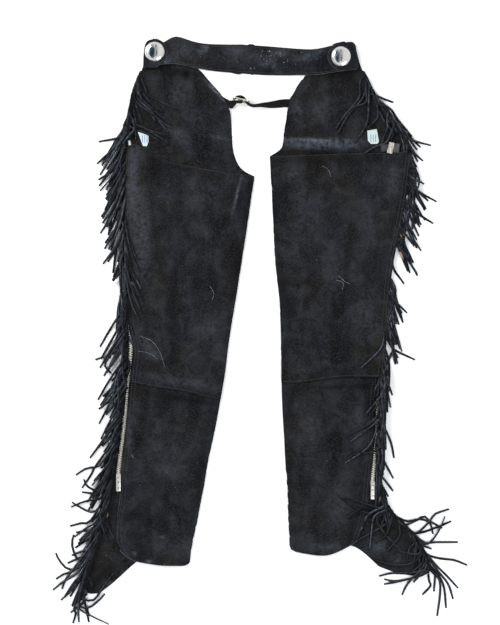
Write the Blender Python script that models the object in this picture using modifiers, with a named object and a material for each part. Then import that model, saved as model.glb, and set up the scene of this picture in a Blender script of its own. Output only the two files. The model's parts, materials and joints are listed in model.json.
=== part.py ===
"""Black suede chaps with fringed, zipped legs, lying flat with the back of the garment up.

Lengths in the tables are millimetres. X runs across the garment, Y from the hems up to the
belt, Z up from the surface that it lies on. Left and right are as seen from above.
"""

import math
from collections import namedtuple

import bmesh
import bpy
from mathutils import Matrix, Vector

MM = 0.001

# Thicknesses and clearances
SUEDE = 1.4
SEAM_GAP = 0.3
BELT_THICKNESS = 2.8
STRAP_THICKNESS = 1.8
STRAP_WIDTH = 15.5
FRINGE_THICKNESS = 4.0
LABEL_THICKNESS = 0.5

# Heights of the layers above the floor, lowest first
FRONT_TOP = SUEDE
TAPE_BOTTOM = FRONT_TOP + SEAM_GAP
TAPE_THICKNESS = 0.6
CHAIN_BOTTOM = TAPE_BOTTOM + TAPE_THICKNESS + SEAM_GAP
CHAIN_HEIGHT = 2.4
CHAIN_WIDTH = 5.2
BACK_OUTSEAM_BOTTOM = CHAIN_BOTTOM
BACK_INSEAM_BOTTOM = FRONT_TOP + SEAM_GAP

# The soft rise of a back panel over its front, and how it flattens towards its free edges
CROWN = 3.0
CROWN_AT_TOP_EDGE = 0.35
CROWN_AT_HEM = 0.5
FLATTENING_LENGTH = 70.0
CROWN_RISE_SHARE = 0.4

# Knee seam: the thigh laps over the calf
KNEE_LAP = 12.0
LAP_FADE = 55.0
LAP_LIFT = SUEDE + SEAM_GAP

# Zip: how far its chain lies outside the back panel's edge, and the tape's reach each way
CHAIN_OFFSET = 5.6
TAPE_REACH_OUT = 3.1
TAPE_REACH_IN = 10.0
ZIP_BELOW_TOP = 3.0
ZIP_STEP = 22.0
ZIP_LAST_STEP = 10.0

# Columns across each panel, rows down the back ones, and the least height of a front's last row
COLUMNS = 12
THIGH_ROWS = 16
CALF_ROWS = 14
LAST_ROW = 6.0

Station = namedtuple("Station", "y inner outer")
EdgePoint = namedtuple("EdgePoint", "share y")
Fold = namedtuple("Fold", "x0 y0 x1 y1 height plateau fade")
Ribbon = namedtuple("Ribbon", "x y z heading roll")
BeltStation = namedtuple("BeltStation", "x top bottom z")
Reach = namedtuple("Reach", "y x")
Leg = namedtuple("Leg", "side front front_hem back back_top knee hem folds rolls reach hem_reach "
                        "slider_y")

# Rows run from the belt down. inner is the inseam's X, outer the outseam's. On a front
# panel the rows above the crotch follow the cut-away edge that faces the other leg.
LEFT_FRONT = [
    Station(530, -139, -213),
    Station(513, -128, -219),
    Station(496, -116, -224),
    Station(480, -102, -232),
    Station(465, -89, -238),
    Station(450, -76, -243),
    Station(435, -63, -246),
    Station(414, -55, -248),
    Station(388, -54, -251),
    Station(361, -53, -254),
    Station(340, -51, -257),
    Station(319, -44, -258),
    Station(304, -33, -259),
    Station(294, -11, -259),
    Station(249, -19, -260),
    Station(192, -27, -261),
    Station(135, -35, -261),
    Station(59, -47, -259),
    Station(-27, -61, -252),
    Station(-93, -70, -258),
    Station(-169, -84, -265),
    Station(-226, -96, -273),
    Station(-275, -104, -279),
    Station(-310, -111, -281),
    Station(-340, -117, -288),
    Station(-372, -123, -301),
    Station(-416, -131, -315),
    Station(-454, -138, -329),
    Station(-481, -142, -334),
    Station(-502, -146, -331),
]
LEFT_FRONT_HEM = [
    EdgePoint(0.00, -492),
    EdgePoint(0.03, -500),
    EdgePoint(0.13, -498),
    EdgePoint(0.20, -492),
    EdgePoint(0.30, -475),
    EdgePoint(0.42, -450),
    EdgePoint(0.50, -429),
    EdgePoint(0.75, -433),
    EdgePoint(1.00, -431),
]
LEFT_BACK = [
    Station(355, -6, -246),
    Station(294, -11, -247),
    Station(249, -18, -248),
    Station(180, -28, -249),
    Station(135, -35, -249),
    Station(59, -47, -247),
    Station(-27, -61, -239),
    Station(-70, -66, -243),
    Station(-116, -74, -248),
    Station(-162, -82, -251),
    Station(-207, -91, -256),
    Station(-253, -101, -262),
    Station(-276, -104, -264),
    Station(-306, -110, -265),
    Station(-340, -117, -268),
    Station(-361, -120, -274),
    Station(-390, -127, -275),
    Station(-414, -131, -267),
    Station(-428, -133, -259),
    Station(-447, -136, -250),
]
LEFT_BACK_TOP = [
    EdgePoint(0.00, 355),
    EdgePoint(0.07, 355),
    EdgePoint(0.13, 345),
    EdgePoint(0.16, 332),
    EdgePoint(0.25, 324),
    EdgePoint(0.50, 312),
    EdgePoint(0.73, 302),
    EdgePoint(1.00, 294),
]
LEFT_KNEE = [
    EdgePoint(0.00, -97),
    EdgePoint(0.33, -108),
    EdgePoint(0.60, -114),
    EdgePoint(0.80, -123),
    EdgePoint(1.00, -132),
]
LEFT_HEM = [
    EdgePoint(0.00, -418),
    EdgePoint(0.03, -427),
    EdgePoint(0.10, -435),
    EdgePoint(0.20, -439),
    EdgePoint(0.35, -442),
    EdgePoint(0.60, -446),
    EdgePoint(0.95, -446),
    EdgePoint(1.00, -441),
]
RIGHT_FRONT = [
    Station(530, 122, 184),
    Station(504, 101, 190),
    Station(486, 87, 199),
    Station(470, 75, 206),
    Station(454, 65, 213),
    Station(442, 58, 220),
    Station(431, 54, 228),
    Station(418, 52, 238),
    Station(405, 51, 247),
    Station(386, 46, 259),
    Station(370, 46, 270),
    Station(363, 45, 274),
    Station(356, 44, 279),
    Station(348, 42, 284),
    Station(340, 33, 289),
    Station(332, 19, 290),
    Station(272, 23, 281),
    Station(226, 25, 273),
    Station(180, 27, 264),
    Station(125, 30, 251),
    Station(59, 38, 245),
    Station(-27, 41, 240),
    Station(-93, 42, 236),
    Station(-152, 44, 231),
    Station(-198, 47, 229),
    Station(-241, 49, 226),
    Station(-283, 52, 224),
    Station(-307, 53, 232),
    Station(-340, 54, 245),
    Station(-372, 56, 271),
    Station(-384, 56, 288),
    Station(-414, 58, 309),
    Station(-443, 59, 322),
    Station(-465, 60, 323),
]
RIGHT_FRONT_HEM = [
    EdgePoint(0.00, -456),
    EdgePoint(0.10, -465),
    EdgePoint(0.20, -462),
    EdgePoint(0.30, -456),
    EdgePoint(0.40, -441),
    EdgePoint(0.50, -403),
    EdgePoint(0.75, -413),
    EdgePoint(1.00, -408),
]
RIGHT_BACK = [
    Station(344, 19, 280),
    Station(332, 19, 278),
    Station(302, 21, 274),
    Station(272, 23, 271),
    Station(226, 25, 263),
    Station(180, 27, 254),
    Station(125, 30, 241),
    Station(59, 38, 236),
    Station(-27, 41, 230),
    Station(-93, 42, 223),
    Station(-152, 44, 218),
    Station(-198, 47, 216),
    Station(-241, 49, 213),
    Station(-283, 52, 208),
    Station(-317, 54, 206),
    Station(-331, 54, 203),
    Station(-361, 55, 197),
    Station(-388, 57, 190),
    Station(-399, 57, 184),
    Station(-428, 58, 174),
]
RIGHT_BACK_TOP = [
    EdgePoint(0.00, 342),
    EdgePoint(0.10, 338),
    EdgePoint(0.50, 336),
    EdgePoint(0.75, 333),
    EdgePoint(1.00, 332),
]
RIGHT_KNEE = [
    EdgePoint(0.00, -88),
    EdgePoint(0.25, -87),
    EdgePoint(0.50, -90),
    EdgePoint(0.80, -98),
    EdgePoint(1.00, -99),
]
RIGHT_HEM = [
    EdgePoint(0.00, -399),
    EdgePoint(0.07, -407),
    EdgePoint(0.22, -418),
    EdgePoint(0.38, -426),
    EdgePoint(0.50, -427),
    EdgePoint(0.75, -423),
    EdgePoint(0.95, -418),
    EdgePoint(1.00, -413),
]

# Where a front panel rides up: over the strap sewn under its edge, and in one roll
LEFT_FRONT_FOLDS = [
    Fold(x0=-105, y0=470, x1=-57, y1=425, height=3.2, plateau=14, fade=25),
]
RIGHT_FRONT_FOLDS = [
    Fold(x0=48, y0=433, x1=74, y1=433, height=2.5, plateau=13, fade=24),
    Fold(x0=44, y0=364, x1=150, y1=360, height=2.6, plateau=2, fade=15),
]
# The rolled strip beside the outseam, below the back panel's top edge
LEFT_BACK_ROLLS = [
    Fold(x0=-232, y0=350, x1=-229, y1=190, height=0.6, plateau=3, fade=17),
]
RIGHT_BACK_ROLLS = [
    Fold(x0=250, y0=330, x1=215, y1=120, height=0.5, plateau=5, fade=28),
]

# The fringe's furthest reach beside the outseam
LEFT_REACH = [
    Reach(440, -250),
    Reach(401, -262),
    Reach(353, -290),
    Reach(316, -309),
    Reach(274, -306),
    Reach(230, -296),
    Reach(173, -284),
    Reach(127, -296),
    Reach(89, -272),
    Reach(0, -286),
    Reach(-30, -304),
    Reach(-131, -308),
    Reach(-207, -310),
    Reach(-241, -324),
    Reach(-274, -350),
    Reach(-325, -360),
    Reach(-371, -366),
    Reach(-416, -389),
    Reach(-492, -393),
    Reach(-503, -384),
]
RIGHT_REACH = [
    Reach(440, 225),
    Reach(420, 243),
    Reach(365, 300),
    Reach(350, 334),
    Reach(321, 314),
    Reach(281, 314),
    Reach(247, 318),
    Reach(200, 306),
    Reach(163, 290),
    Reach(131, 290),
    Reach(89, 275),
    Reach(34, 278),
    Reach(-19, 265),
    Reach(-65, 254),
    Reach(-243, 256),
    Reach(-286, 264),
    Reach(-314, 272),
    Reach(-338, 358),
    Reach(-401, 376),
    Reach(-445, 393),
    Reach(-470, 386),
]
# The Y at which each stretch of fringe ends, and how far the loose ends lie below each flap
FRINGE_START = 440
FRINGE_ENDS = {"hip": 294, "thigh": 59, "knee": -130, "calf": -310, "flap": -600}
HemReach = namedtuple("HemReach", "x y")
LEFT_HEM_REACH = [
    HemReach(-392, -506),
    HemReach(-378, -535),
    HemReach(-356, -558),
    HemReach(-322, -558),
    HemReach(-287, -558),
]
RIGHT_HEM_REACH = [
    HemReach(387, -472),
    HemReach(364, -522),
    HemReach(336, -541),
    HemReach(300, -522),
    HemReach(262, -492),
]

LEFT = Leg(-1, LEFT_FRONT, LEFT_FRONT_HEM, LEFT_BACK, LEFT_BACK_TOP, LEFT_KNEE, LEFT_HEM,
           LEFT_FRONT_FOLDS, LEFT_BACK_ROLLS, LEFT_REACH, LEFT_HEM_REACH, slider_y=-274)
RIGHT = Leg(1, RIGHT_FRONT, RIGHT_FRONT_HEM, RIGHT_BACK, RIGHT_BACK_TOP, RIGHT_KNEE, RIGHT_HEM,
            RIGHT_FRONT_FOLDS, RIGHT_BACK_ROLLS, RIGHT_REACH, RIGHT_HEM_REACH, slider_y=-289)
LEGS = {"left": LEFT, "right": RIGHT}

# The belt lies on the floor between the legs and over the fronts and their screws at the hips
BELT_END_Z = FRONT_TOP + SEAM_GAP + 1.3
BELT = [
    BeltStation(-213, 541, 503, BELT_END_Z),
    BeltStation(-198, 543, 505, BELT_END_Z),
    BeltStation(-184, 546, 506, BELT_END_Z),
    BeltStation(-172, 555, 507, BELT_END_Z),
    BeltStation(-160, 560, 507, BELT_END_Z),
    BeltStation(-146, 556, 505, 2.5),
    BeltStation(-130, 550, 501, 2.0),
    BeltStation(-108, 545, 496, 1.8),
    BeltStation(-76, 544, 492, 0.0),
    BeltStation(-35, 544, 489, 0.0),
    BeltStation(8, 541, 486, 0.0),
    BeltStation(46, 538, 485, 0.0),
    BeltStation(76, 535, 486, 1.8),
    BeltStation(104, 534, 485, 2.0),
    BeltStation(126, 539, 489, BELT_END_Z),
    BeltStation(146, 544, 492, BELT_END_Z),
    BeltStation(168, 549, 495, BELT_END_Z),
    BeltStation(184, 550, 496, BELT_END_Z),
]
BELT_ROWS = 3

# Hip tabs and conchos: each tab is an arc round its concho, squared off on its outer side
TAB_Z = BELT_END_Z + BELT_THICKNESS + SEAM_GAP
CONCHO_Z = TAB_Z + SUEDE + SEAM_GAP
CONCHO_RADIUS = 19.0
CONCHO_HEIGHT = 5.5
CONCHO_SHELL = 1.2
CONCHO_RIM = 2.0
CONCHO_EDGE_HEIGHT = 0.8
CONCHO_DOME_STEPS = 6
CONCHO_HOLLOW_RADIUS = 11.4
CONCHO_HOLLOW_RISE = 0.75
POST_RADIUS = 3.0
POST_BORE = 1.6
POST_HOLE = 3.4
SCREW_HEAD_RADIUS = 5.0
SCREW_HEAD_HEIGHT = 0.9
SCREW_HEAD_ROUNDING = 0.6
SCREW_HEAD_EDGE = 0.2
SCREW_SHANK = 1.3
SCREW_SHORT_OF_CONCHO = 1.5
TURNED_STEPS = 24
HipTab = namedtuple("HipTab", "x y radius out down")
HIP_TABS = {
    "left": HipTab(x=-199.5, y=530, radius=24, out=22, down=30),
    "right": HipTab(x=154, y=521, radius=26, out=33, down=27),
}
TAB_ARC_START = math.radians(-50)
TAB_ARC_STEPS = 10
TAB_FOOT = 4.0
# Corners of a tab's outer shoulder, as shares of out and of radius
TAB_SHOULDER = [(0.55, 0.93), (0.9, 0.6)]

# Front strap and its centre-bar buckle, which stands almost on edge
BUCKLE_X = -36.0
BUCKLE_Y = 436.5
BUCKLE_HEADING = math.radians(-13.5)
BUCKLE_LEAN = math.radians(80)
BUCKLE_HALF_LENGTH = 15.0
BUCKLE_HALF_WIDTH = 9.7
BUCKLE_CORNER = 4.0
BUCKLE_CORNER_STEPS = 3
BUCKLE_WIRE = 1.4
BUCKLE_BAR = 1.26
PRONG_WIRE = 0.9
PRONG_PAST_FRAME = 1.5
PRONG_PAST_BAR = 0.5
PRONG_HOLE = 1.4
PRONG_HOLE_MARGIN = 2.0
BUCKLE_Z = 11.3

# Zip slider and pull, measured from the pull's axis
SLIDER_HALF_WIDTH = 4.4
SLIDER_LENGTH = 11.0
SLIDER_WALL = 0.6
TAPE_ABOVE_SLIDER = 1.0
CHAIN_IN_SLIDER = 2.0
BAIL_WIDTH = 2.0
BAIL_LENGTH = 7.0
BAIL_HEIGHT = 3.2
BAIL_HOLE = 1.25
PIN_RADIUS = 0.85
PIN_INSET = 0.4
CUTTER_MARGIN = 1.0
PULL_LENGTH = 30.0
PULL_WIDTH = 8.4
PULL_THICKNESS = 1.4
PULL_WINDOW_WIDTH = 3.4
PULL_WINDOW_END = 4.8
PULL_DROOP = math.radians(3)

Label = namedtuple("Label", "x y width length turn")
LABELS = {
    "left": Label(x=-221, y=364, width=19, length=25, turn=17),
    "right": Label(x=215.5, y=369, width=19, length=26, turn=8),
}


def clear_scene():
    """Remove the objects of the file that this script is run in."""
    for obj in list(bpy.data.objects):
        bpy.data.objects.remove(obj, do_unlink=True)


def new_collection(name):
    collection = bpy.data.collections.new(name)
    bpy.context.scene.collection.children.link(collection)
    return collection


def make_material(name, color, roughness, metallic=0.0):
    material = bpy.data.materials.new(name)
    material.use_nodes = True
    shader = material.node_tree.nodes["Principled BSDF"]
    shader.inputs["Base Color"].default_value = (*color, 1.0)
    shader.inputs["Roughness"].default_value = roughness
    shader.inputs["Metallic"].default_value = metallic
    return material


def add_object(name, data, material, collection):
    obj = bpy.data.objects.new(name, data)
    if material:
        data.materials.append(material)
    collection.objects.link(obj)
    return obj


def mesh_from(bm, name, scale=MM):
    """Turn a bmesh in millimetres into a mesh in metres."""
    bmesh.ops.transform(bm, matrix=Matrix.Scale(scale, 4), verts=bm.verts)
    mesh = bpy.data.meshes.new(name)
    bm.to_mesh(mesh)
    bm.free()
    return mesh


def read_table(rows, column, at, value):
    """Read a table's column at a place between its rows, on a curve that never overshoots."""
    places = [getattr(row, column) for row in rows]
    values = [getattr(row, value) for row in rows]
    if places[0] > places[-1]:
        places.reverse()
        values.reverse()
    if at <= places[0]:
        return values[0]
    if at >= places[-1]:
        return values[-1]
    steps = [(v1 - v0) / (p1 - p0) for p0, p1, v0, v1 in
             zip(places, places[1:], values, values[1:])]
    slopes = [steps[0]]
    for before, after in zip(steps, steps[1:]):
        same_way = before * after > 0
        slopes.append(2 * before * after / (before + after) if same_way else 0.0)
    slopes.append(steps[-1])
    k = max(i for i, place in enumerate(places) if place <= at)
    span = places[k + 1] - places[k]
    t = (at - places[k]) / span
    rise = values[k + 1] - values[k]
    bend_in = t * (1 - t) ** 2 * span * slopes[k]
    bend_out = t * t * (1 - t) * span * slopes[k + 1]
    return values[k] + rise * t * t * (3 - 2 * t) + bend_in - bend_out


def smooth_step(t):
    t = min(1.0, max(0.0, t))
    return t * t * (3 - 2 * t)


def fold_height(folds, x, y):
    """Sum of the soft ridges at a place, each flat along its line and fading beside it."""
    height = 0.0
    for fold in folds:
        start = Vector((fold.x0, fold.y0))
        run = Vector((fold.x1, fold.y1)) - start
        share = (Vector((x, y)) - start).dot(run) / run.length_squared
        nearest = start + run * min(1.0, max(0.0, share))
        away = (Vector((x, y)) - nearest).length
        height += fold.height * smooth_step((fold.fade - away) / (fold.fade - fold.plateau))
    return height


def column_shares():
    """Shares across a panel from the outseam to the inseam, closer together at its edges."""
    return [0.5 - 0.5 * math.cos(math.pi * i / COLUMNS) for i in range(COLUMNS + 1)]


def grid_bmesh(points):
    """An open surface through rows of points, facing up."""
    bm = bmesh.new()
    bmesh.ops.create_grid(bm, x_segments=len(points) - 1, y_segments=len(points[0]) - 1, size=1)
    bm.verts.ensure_lookup_table()
    across = len(points[0])
    ordered = sorted(bm.verts, key=lambda v: (round(v.co.x, 4), round(v.co.y, 4)))
    for n, vert in enumerate(ordered):
        vert.co = points[n // across][n % across]
    bmesh.ops.recalc_face_normals(bm, faces=bm.faces)
    bm.normal_update()
    if sum(face.normal.z for face in bm.faces) < 0:
        bmesh.ops.reverse_faces(bm, faces=bm.faces)
    return bm


def add_wall(obj, thickness):
    """Give an open surface its thickness upwards."""
    wall = obj.modifiers.new("Wall", "SOLIDIFY")
    wall.thickness = thickness * MM
    wall.offset = 1.0
    wall.use_even_offset = True
    wall.use_quality_normals = True


def front_points(leg):
    """Rows of points of a front panel's underside."""
    top = leg.front[0].y
    inseam_hem = read_table(leg.front_hem, "share", 1.0, "y")
    rows = []
    for station in leg.front:
        if station.y < inseam_hem + LAST_ROW:
            break
        rows.append((top - station.y) / (top - inseam_hem))
    rows.append(1.0)
    points = []
    for down in rows:
        row = []
        for share in column_shares():
            hem = read_table(leg.front_hem, "share", share, "y")
            y = top + (hem - top) * down
            inner = read_table(leg.front, "y", y, "inner")
            outer = read_table(leg.front, "y", y, "outer")
            x = outer + (inner - outer) * share
            row.append(Vector((x, y, fold_height(leg.folds, x, y))))
        points.append(row)
    return points


def crown_shape(share):
    """Rise of a back panel across the leg: gentle at the outseam, rolled over at the inseam."""
    if share < 0.5:
        return math.sin(math.pi / 2 * min(1.0, share / CROWN_RISE_SHARE))
    return math.sqrt(1 - (2 * share - 1) ** 4)


def back_surface(leg, share, y):
    """Point of the leg back's inner face at a share of its width."""
    inner = read_table(leg.back, "y", y, "inner")
    outer = read_table(leg.back, "y", y, "outer")
    x = outer + (inner - outer) * share
    below_top = read_table(leg.back_top, "share", share, "y") - y
    above_hem = y - read_table(leg.hem, "share", share, "y")
    at_top = CROWN_AT_TOP_EDGE + (1 - CROWN_AT_TOP_EDGE) * smooth_step(below_top / FLATTENING_LENGTH)
    at_hem = CROWN_AT_HEM + (1 - CROWN_AT_HEM) * smooth_step(above_hem / FLATTENING_LENGTH)
    base = BACK_OUTSEAM_BOTTOM + (BACK_INSEAM_BOTTOM - BACK_OUTSEAM_BOTTOM) * share
    rise = CROWN * crown_shape(share) * min(at_top, at_hem)
    return Vector((x, y, base + rise + fold_height(leg.rolls, x, y)))


def back_normal(leg, share, y):
    step = 0.01
    across = back_surface(leg, min(1, share + step), y) - back_surface(leg, max(0, share - step), y)
    along = back_surface(leg, share, y + 1) - back_surface(leg, share, y - 1)
    normal = across.cross(along).normalized()
    return normal if normal.z > 0 else -normal


def back_points(leg, top, bottom, rows, lap):
    """Rows of a back panel between two edges, moved out where it laps over the lower one."""
    points = []
    for r in range(rows + 1):
        row = []
        for share in column_shares():
            high = top(share)
            low = bottom(share)
            y = high + (low - high) * r / rows
            point = back_surface(leg, share, y)
            if lap:
                lifted = smooth_step(1 - (y - low - 2 * KNEE_LAP) / LAP_FADE)
                point += back_normal(leg, share, y) * LAP_LIFT * lifted
            row.append(point)
        points.append(row)
    return points


def add_panel(name, points, thickness, material, collection):
    obj = add_object(name, mesh_from(grid_bmesh(points), name), material, collection)
    add_wall(obj, thickness)
    return obj


def loft(name, sections, material, collection):
    """A closed body through four-cornered sections, capped at both ends."""
    bm = bmesh.new()
    rings = [[bm.verts.new(corner) for corner in section] for section in sections]
    for ring, after in zip(rings, rings[1:]):
        for k in range(4):
            bm.faces.new((ring[k], ring[(k + 1) % 4], after[(k + 1) % 4], after[k]))
    bm.faces.new(rings[0])
    bm.faces.new(rings[-1])
    bmesh.ops.recalc_face_normals(bm, faces=bm.faces)
    return add_object(name, mesh_from(bm, name), material, collection)


def ribbon_sections(stations, width, thickness):
    """Sections of a strap. Its width turns by roll from flat towards standing on edge."""
    places = [Vector((s.x, s.y, s.z)) for s in stations]
    sections = []
    for k, station in enumerate(stations):
        ahead = places[min(k + 1, len(places) - 1)]
        behind = places[max(k - 1, 0)]
        tangent = (ahead - behind).normalized()
        side = Vector((-math.sin(station.heading), math.cos(station.heading), 0))
        across = side * math.cos(station.roll) + Vector((0, 0, 1)) * math.sin(station.roll)
        across = (across - tangent * across.dot(tangent)).normalized() * width / 2
        up = tangent.cross(across).normalized() * thickness / 2
        middle = places[k]
        sections.append([middle - across - up, middle + across - up,
                         middle + across + up, middle - across + up])
    return sections


def zip_x(leg, y):
    """X of the zip chain's middle. It runs straight into the slider."""
    straight_from = leg.slider_y + SLIDER_LENGTH
    return read_table(leg.back, "y", max(y, straight_from), "outer") + leg.side * CHAIN_OFFSET


def zip_band(leg, out, inward, bottom, top, end_y):
    """Sections of a band that follows the zip, between two offsets from its chain."""
    sections = []
    y = read_table(leg.back_top, "share", 0.0, "y") - ZIP_BELOW_TOP
    stops = [y]
    while y - ZIP_STEP > end_y + ZIP_LAST_STEP:
        y -= ZIP_STEP
        stops.append(y)
    stops.append(end_y)
    for y in stops:
        x = zip_x(leg, y)
        far = x + leg.side * out
        near = x - leg.side * inward
        sections.append([Vector((far, y, bottom)), Vector((near, y, bottom)),
                         Vector((near, y, top)), Vector((far, y, top))])
    return sections


def box(name, low, high, collection, material=None):
    """A box between two corners, in millimetres."""
    bm = bmesh.new()
    bmesh.ops.create_cube(bm, size=1)
    size = Vector(high) - Vector(low)
    middle = (Vector(high) + Vector(low)) / 2
    bmesh.ops.scale(bm, vec=size, verts=bm.verts)
    bmesh.ops.translate(bm, vec=middle, verts=bm.verts)
    return add_object(name, mesh_from(bm, name), material, collection)


def rod(name, start, end, radius, segments, collection, material=None):
    """A straight round bar between two points, in millimetres."""
    start = Vector(start)
    end = Vector(end)
    bm = bmesh.new()
    bmesh.ops.create_cone(bm, cap_ends=True, segments=segments, radius1=radius,
                          radius2=radius, depth=(end - start).length)
    turn = (end - start).to_track_quat("Z", "Y").to_matrix().to_4x4()
    bmesh.ops.transform(bm, matrix=Matrix.Translation((start + end) / 2) @ turn, verts=bm.verts)
    return add_object(name, mesh_from(bm, name), material, collection)


def cut(obj, cutter, operation="DIFFERENCE"):
    """Cut an object by another, or join the other to it. The other stays hidden."""
    step = obj.modifiers.new(operation.title(), "BOOLEAN")
    step.operation = operation
    step.solver = "EXACT"
    step.object = cutter
    cutter.hide_render = True
    cutter.display_type = "WIRE"


def make_leg_panels(part, suede):
    for name, leg in LEGS.items():
        add_panel(f"front_panel_{name}", front_points(leg), SUEDE, suede, part)

        def back_top(share, leg=leg):
            return read_table(leg.back_top, "share", share, "y")

        def knee(share, leg=leg):
            return read_table(leg.knee, "share", share, "y")

        def calf_top(share, leg=leg):
            return knee(share, leg) + KNEE_LAP

        def hem(share, leg=leg):
            return read_table(leg.hem, "share", share, "y")

        thigh = back_points(leg, back_top, knee, THIGH_ROWS, lap=True)
        add_panel(f"back_thigh_{name}", thigh, SUEDE, suede, part)
        calf = back_points(leg, calf_top, hem, CALF_ROWS, lap=False)
        add_panel(f"back_calf_{name}", calf, SUEDE, suede, part)


def make_zips(part, cutters, tape, metal):
    for name, leg in LEGS.items():
        slider_top = leg.slider_y + SLIDER_LENGTH / 2
        band = zip_band(leg, TAPE_REACH_OUT, TAPE_REACH_IN, TAPE_BOTTOM,
                        TAPE_BOTTOM + TAPE_THICKNESS, slider_top + TAPE_ABOVE_SLIDER)
        loft(f"zip_tape_{name}", band, tape, part)
        chain_top = CHAIN_BOTTOM + CHAIN_HEIGHT
        chain = zip_band(leg, CHAIN_WIDTH / 2, CHAIN_WIDTH / 2, CHAIN_BOTTOM, chain_top,
                         leg.slider_y - CHAIN_IN_SLIDER)
        loft(f"zip_chain_{name}", chain, metal, part)
        make_slider(name, leg, part, cutters, metal)


def make_slider(name, leg, part, cutters, metal):
    """A slider round the chain, with a bail on top, and the pull hooked into the bail."""
    x = zip_x(leg, leg.slider_y)
    y = leg.slider_y
    channel_bottom = CHAIN_BOTTOM - SEAM_GAP
    channel_top = CHAIN_BOTTOM + CHAIN_HEIGHT + SEAM_GAP
    bottom = channel_bottom - SLIDER_WALL
    top = channel_top + SLIDER_WALL
    half_length = SLIDER_LENGTH / 2
    body = box(f"zip_slider_{name}", (x - SLIDER_HALF_WIDTH, y - half_length, bottom),
               (x + SLIDER_HALF_WIDTH, y + half_length, top), part, metal)
    channel_half = CHAIN_WIDTH / 2 + SEAM_GAP
    channel_end = half_length + CUTTER_MARGIN
    channel = box(f"channel_{name}", (x - channel_half, y - channel_end, channel_bottom),
                  (x + channel_half, y + channel_end, channel_top), cutters)
    bail = box(f"bail_{name}", (x - BAIL_WIDTH / 2, y - BAIL_LENGTH / 2, top - SLIDER_WALL / 2),
               (x + BAIL_WIDTH / 2, y + BAIL_LENGTH / 2, top + BAIL_HEIGHT), cutters)
    axis_z = top + BAIL_HOLE + PIN_RADIUS / 4
    hole = rod(f"bail_hole_{name}", (x - BAIL_WIDTH, y, axis_z), (x + BAIL_WIDTH, y, axis_z),
               BAIL_HOLE, 12, cutters)
    cut(body, channel)
    cut(body, bail, "UNION")
    cut(body, hole)

    pull = box(f"zip_pull_{name}", (-PULL_WIDTH / 2, -PULL_LENGTH, -PULL_THICKNESS / 2),
               (PULL_WIDTH / 2, 0, PULL_THICKNESS / 2), part, metal)
    window_half = PULL_WINDOW_WIDTH / 2
    window = box(f"pull_window_{name}", (-window_half, -PULL_WINDOW_END, -PULL_THICKNESS),
                 (window_half, CUTTER_MARGIN, PULL_THICKNESS), cutters)
    pin_half = PULL_WIDTH / 2 - PIN_INSET
    pin = rod(f"pull_pin_{name}", (-pin_half, 0, 0), (pin_half, 0, 0), PIN_RADIUS, 12, cutters)
    cut(pull, window)
    cut(pull, pin, "UNION")
    placing = Matrix.Translation(Vector((x, y, axis_z)) * MM)
    placing @= Matrix.Rotation(PULL_DROOP, 4, "X")
    for piece in (pull, window, pin):
        piece.matrix_world = placing


def make_belt(part, suede):
    points = []
    for station in BELT:
        row = []
        for r in range(BELT_ROWS + 1):
            share = r / BELT_ROWS
            y = station.bottom + (station.top - station.bottom) * share
            row.append(Vector((station.x, y, station.z)))
        points.append(row)
    return add_panel("belt", points, BELT_THICKNESS, suede, part)


def tab_outline(tab, side):
    """Round the concho on the side towards the belt, squared off on the outer side."""
    sweep = math.pi / 2 - TAB_ARC_START
    arc = [TAB_ARC_START + sweep * k / TAB_ARC_STEPS for k in range(TAB_ARC_STEPS + 1)]
    corners = [(tab.radius * math.cos(a), tab.radius * math.sin(a)) for a in arc]
    shoulder = [(-tab.out * out, tab.radius * up) for out, up in TAB_SHOULDER]
    base = [(-tab.out, -tab.down / 2), (-tab.out, -tab.down), (TAB_FOOT, -tab.down)]
    return [(tab.x - side * x, tab.y + y) for x, y in corners + shoulder + base]


def flat_solid(name, outline, z, thickness, material, collection):
    """A plain flat solid of an outline: a filled 2D curve with a thickness, made a mesh."""
    curve = bpy.data.curves.new(name, "CURVE")
    curve.dimensions = "2D"
    curve.fill_mode = "BOTH"
    curve.extrude = thickness * MM / 2
    spline = curve.splines.new("POLY")
    spline.points.add(len(outline) - 1)
    for point, (x, y) in zip(spline.points, outline):
        point.co = (x * MM, y * MM, 0, 1)
    spline.use_cyclic_u = True
    guide = bpy.data.objects.new(name + "_outline", curve)
    guide.location.z = (z + thickness / 2) * MM
    collection.objects.link(guide)
    mesh = mesh_of_curve(guide, name)
    return add_object(name, mesh, material, collection)


def mesh_of_curve(guide, name):
    """Take a curve object's shape as a closed mesh in world space, and remove the curve."""
    bpy.context.view_layer.update()
    graph = bpy.context.evaluated_depsgraph_get()
    mesh = bpy.data.meshes.new_from_object(guide.evaluated_get(graph))
    mesh.name = name
    bm = bmesh.new()
    bm.from_mesh(mesh)
    bmesh.ops.transform(bm, matrix=guide.matrix_world, verts=bm.verts)
    bmesh.ops.remove_doubles(bm, verts=bm.verts, dist=0.00001)
    bmesh.ops.recalc_face_normals(bm, faces=bm.faces)
    bm.to_mesh(mesh)
    bm.free()
    bpy.data.objects.remove(guide, do_unlink=True)
    return mesh


def turned(name, profile, x, y, z, material, collection):
    """A turned solid from a profile of radius and height, from the top down its outer side."""
    mesh = bpy.data.meshes.new(name)
    verts = [(r * MM, 0, h * MM) for r, h in profile]
    mesh.from_pydata(verts, [(k, k + 1) for k in range(len(verts) - 1)], [])
    obj = add_object(name, mesh, material, collection)
    obj.location = (x * MM, y * MM, z * MM)
    spin = obj.modifiers.new("Turn", "SCREW")
    spin.steps = TURNED_STEPS
    spin.render_steps = TURNED_STEPS
    spin.use_merge_vertices = True
    spin.merge_threshold = 0.00001
    return obj


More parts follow.
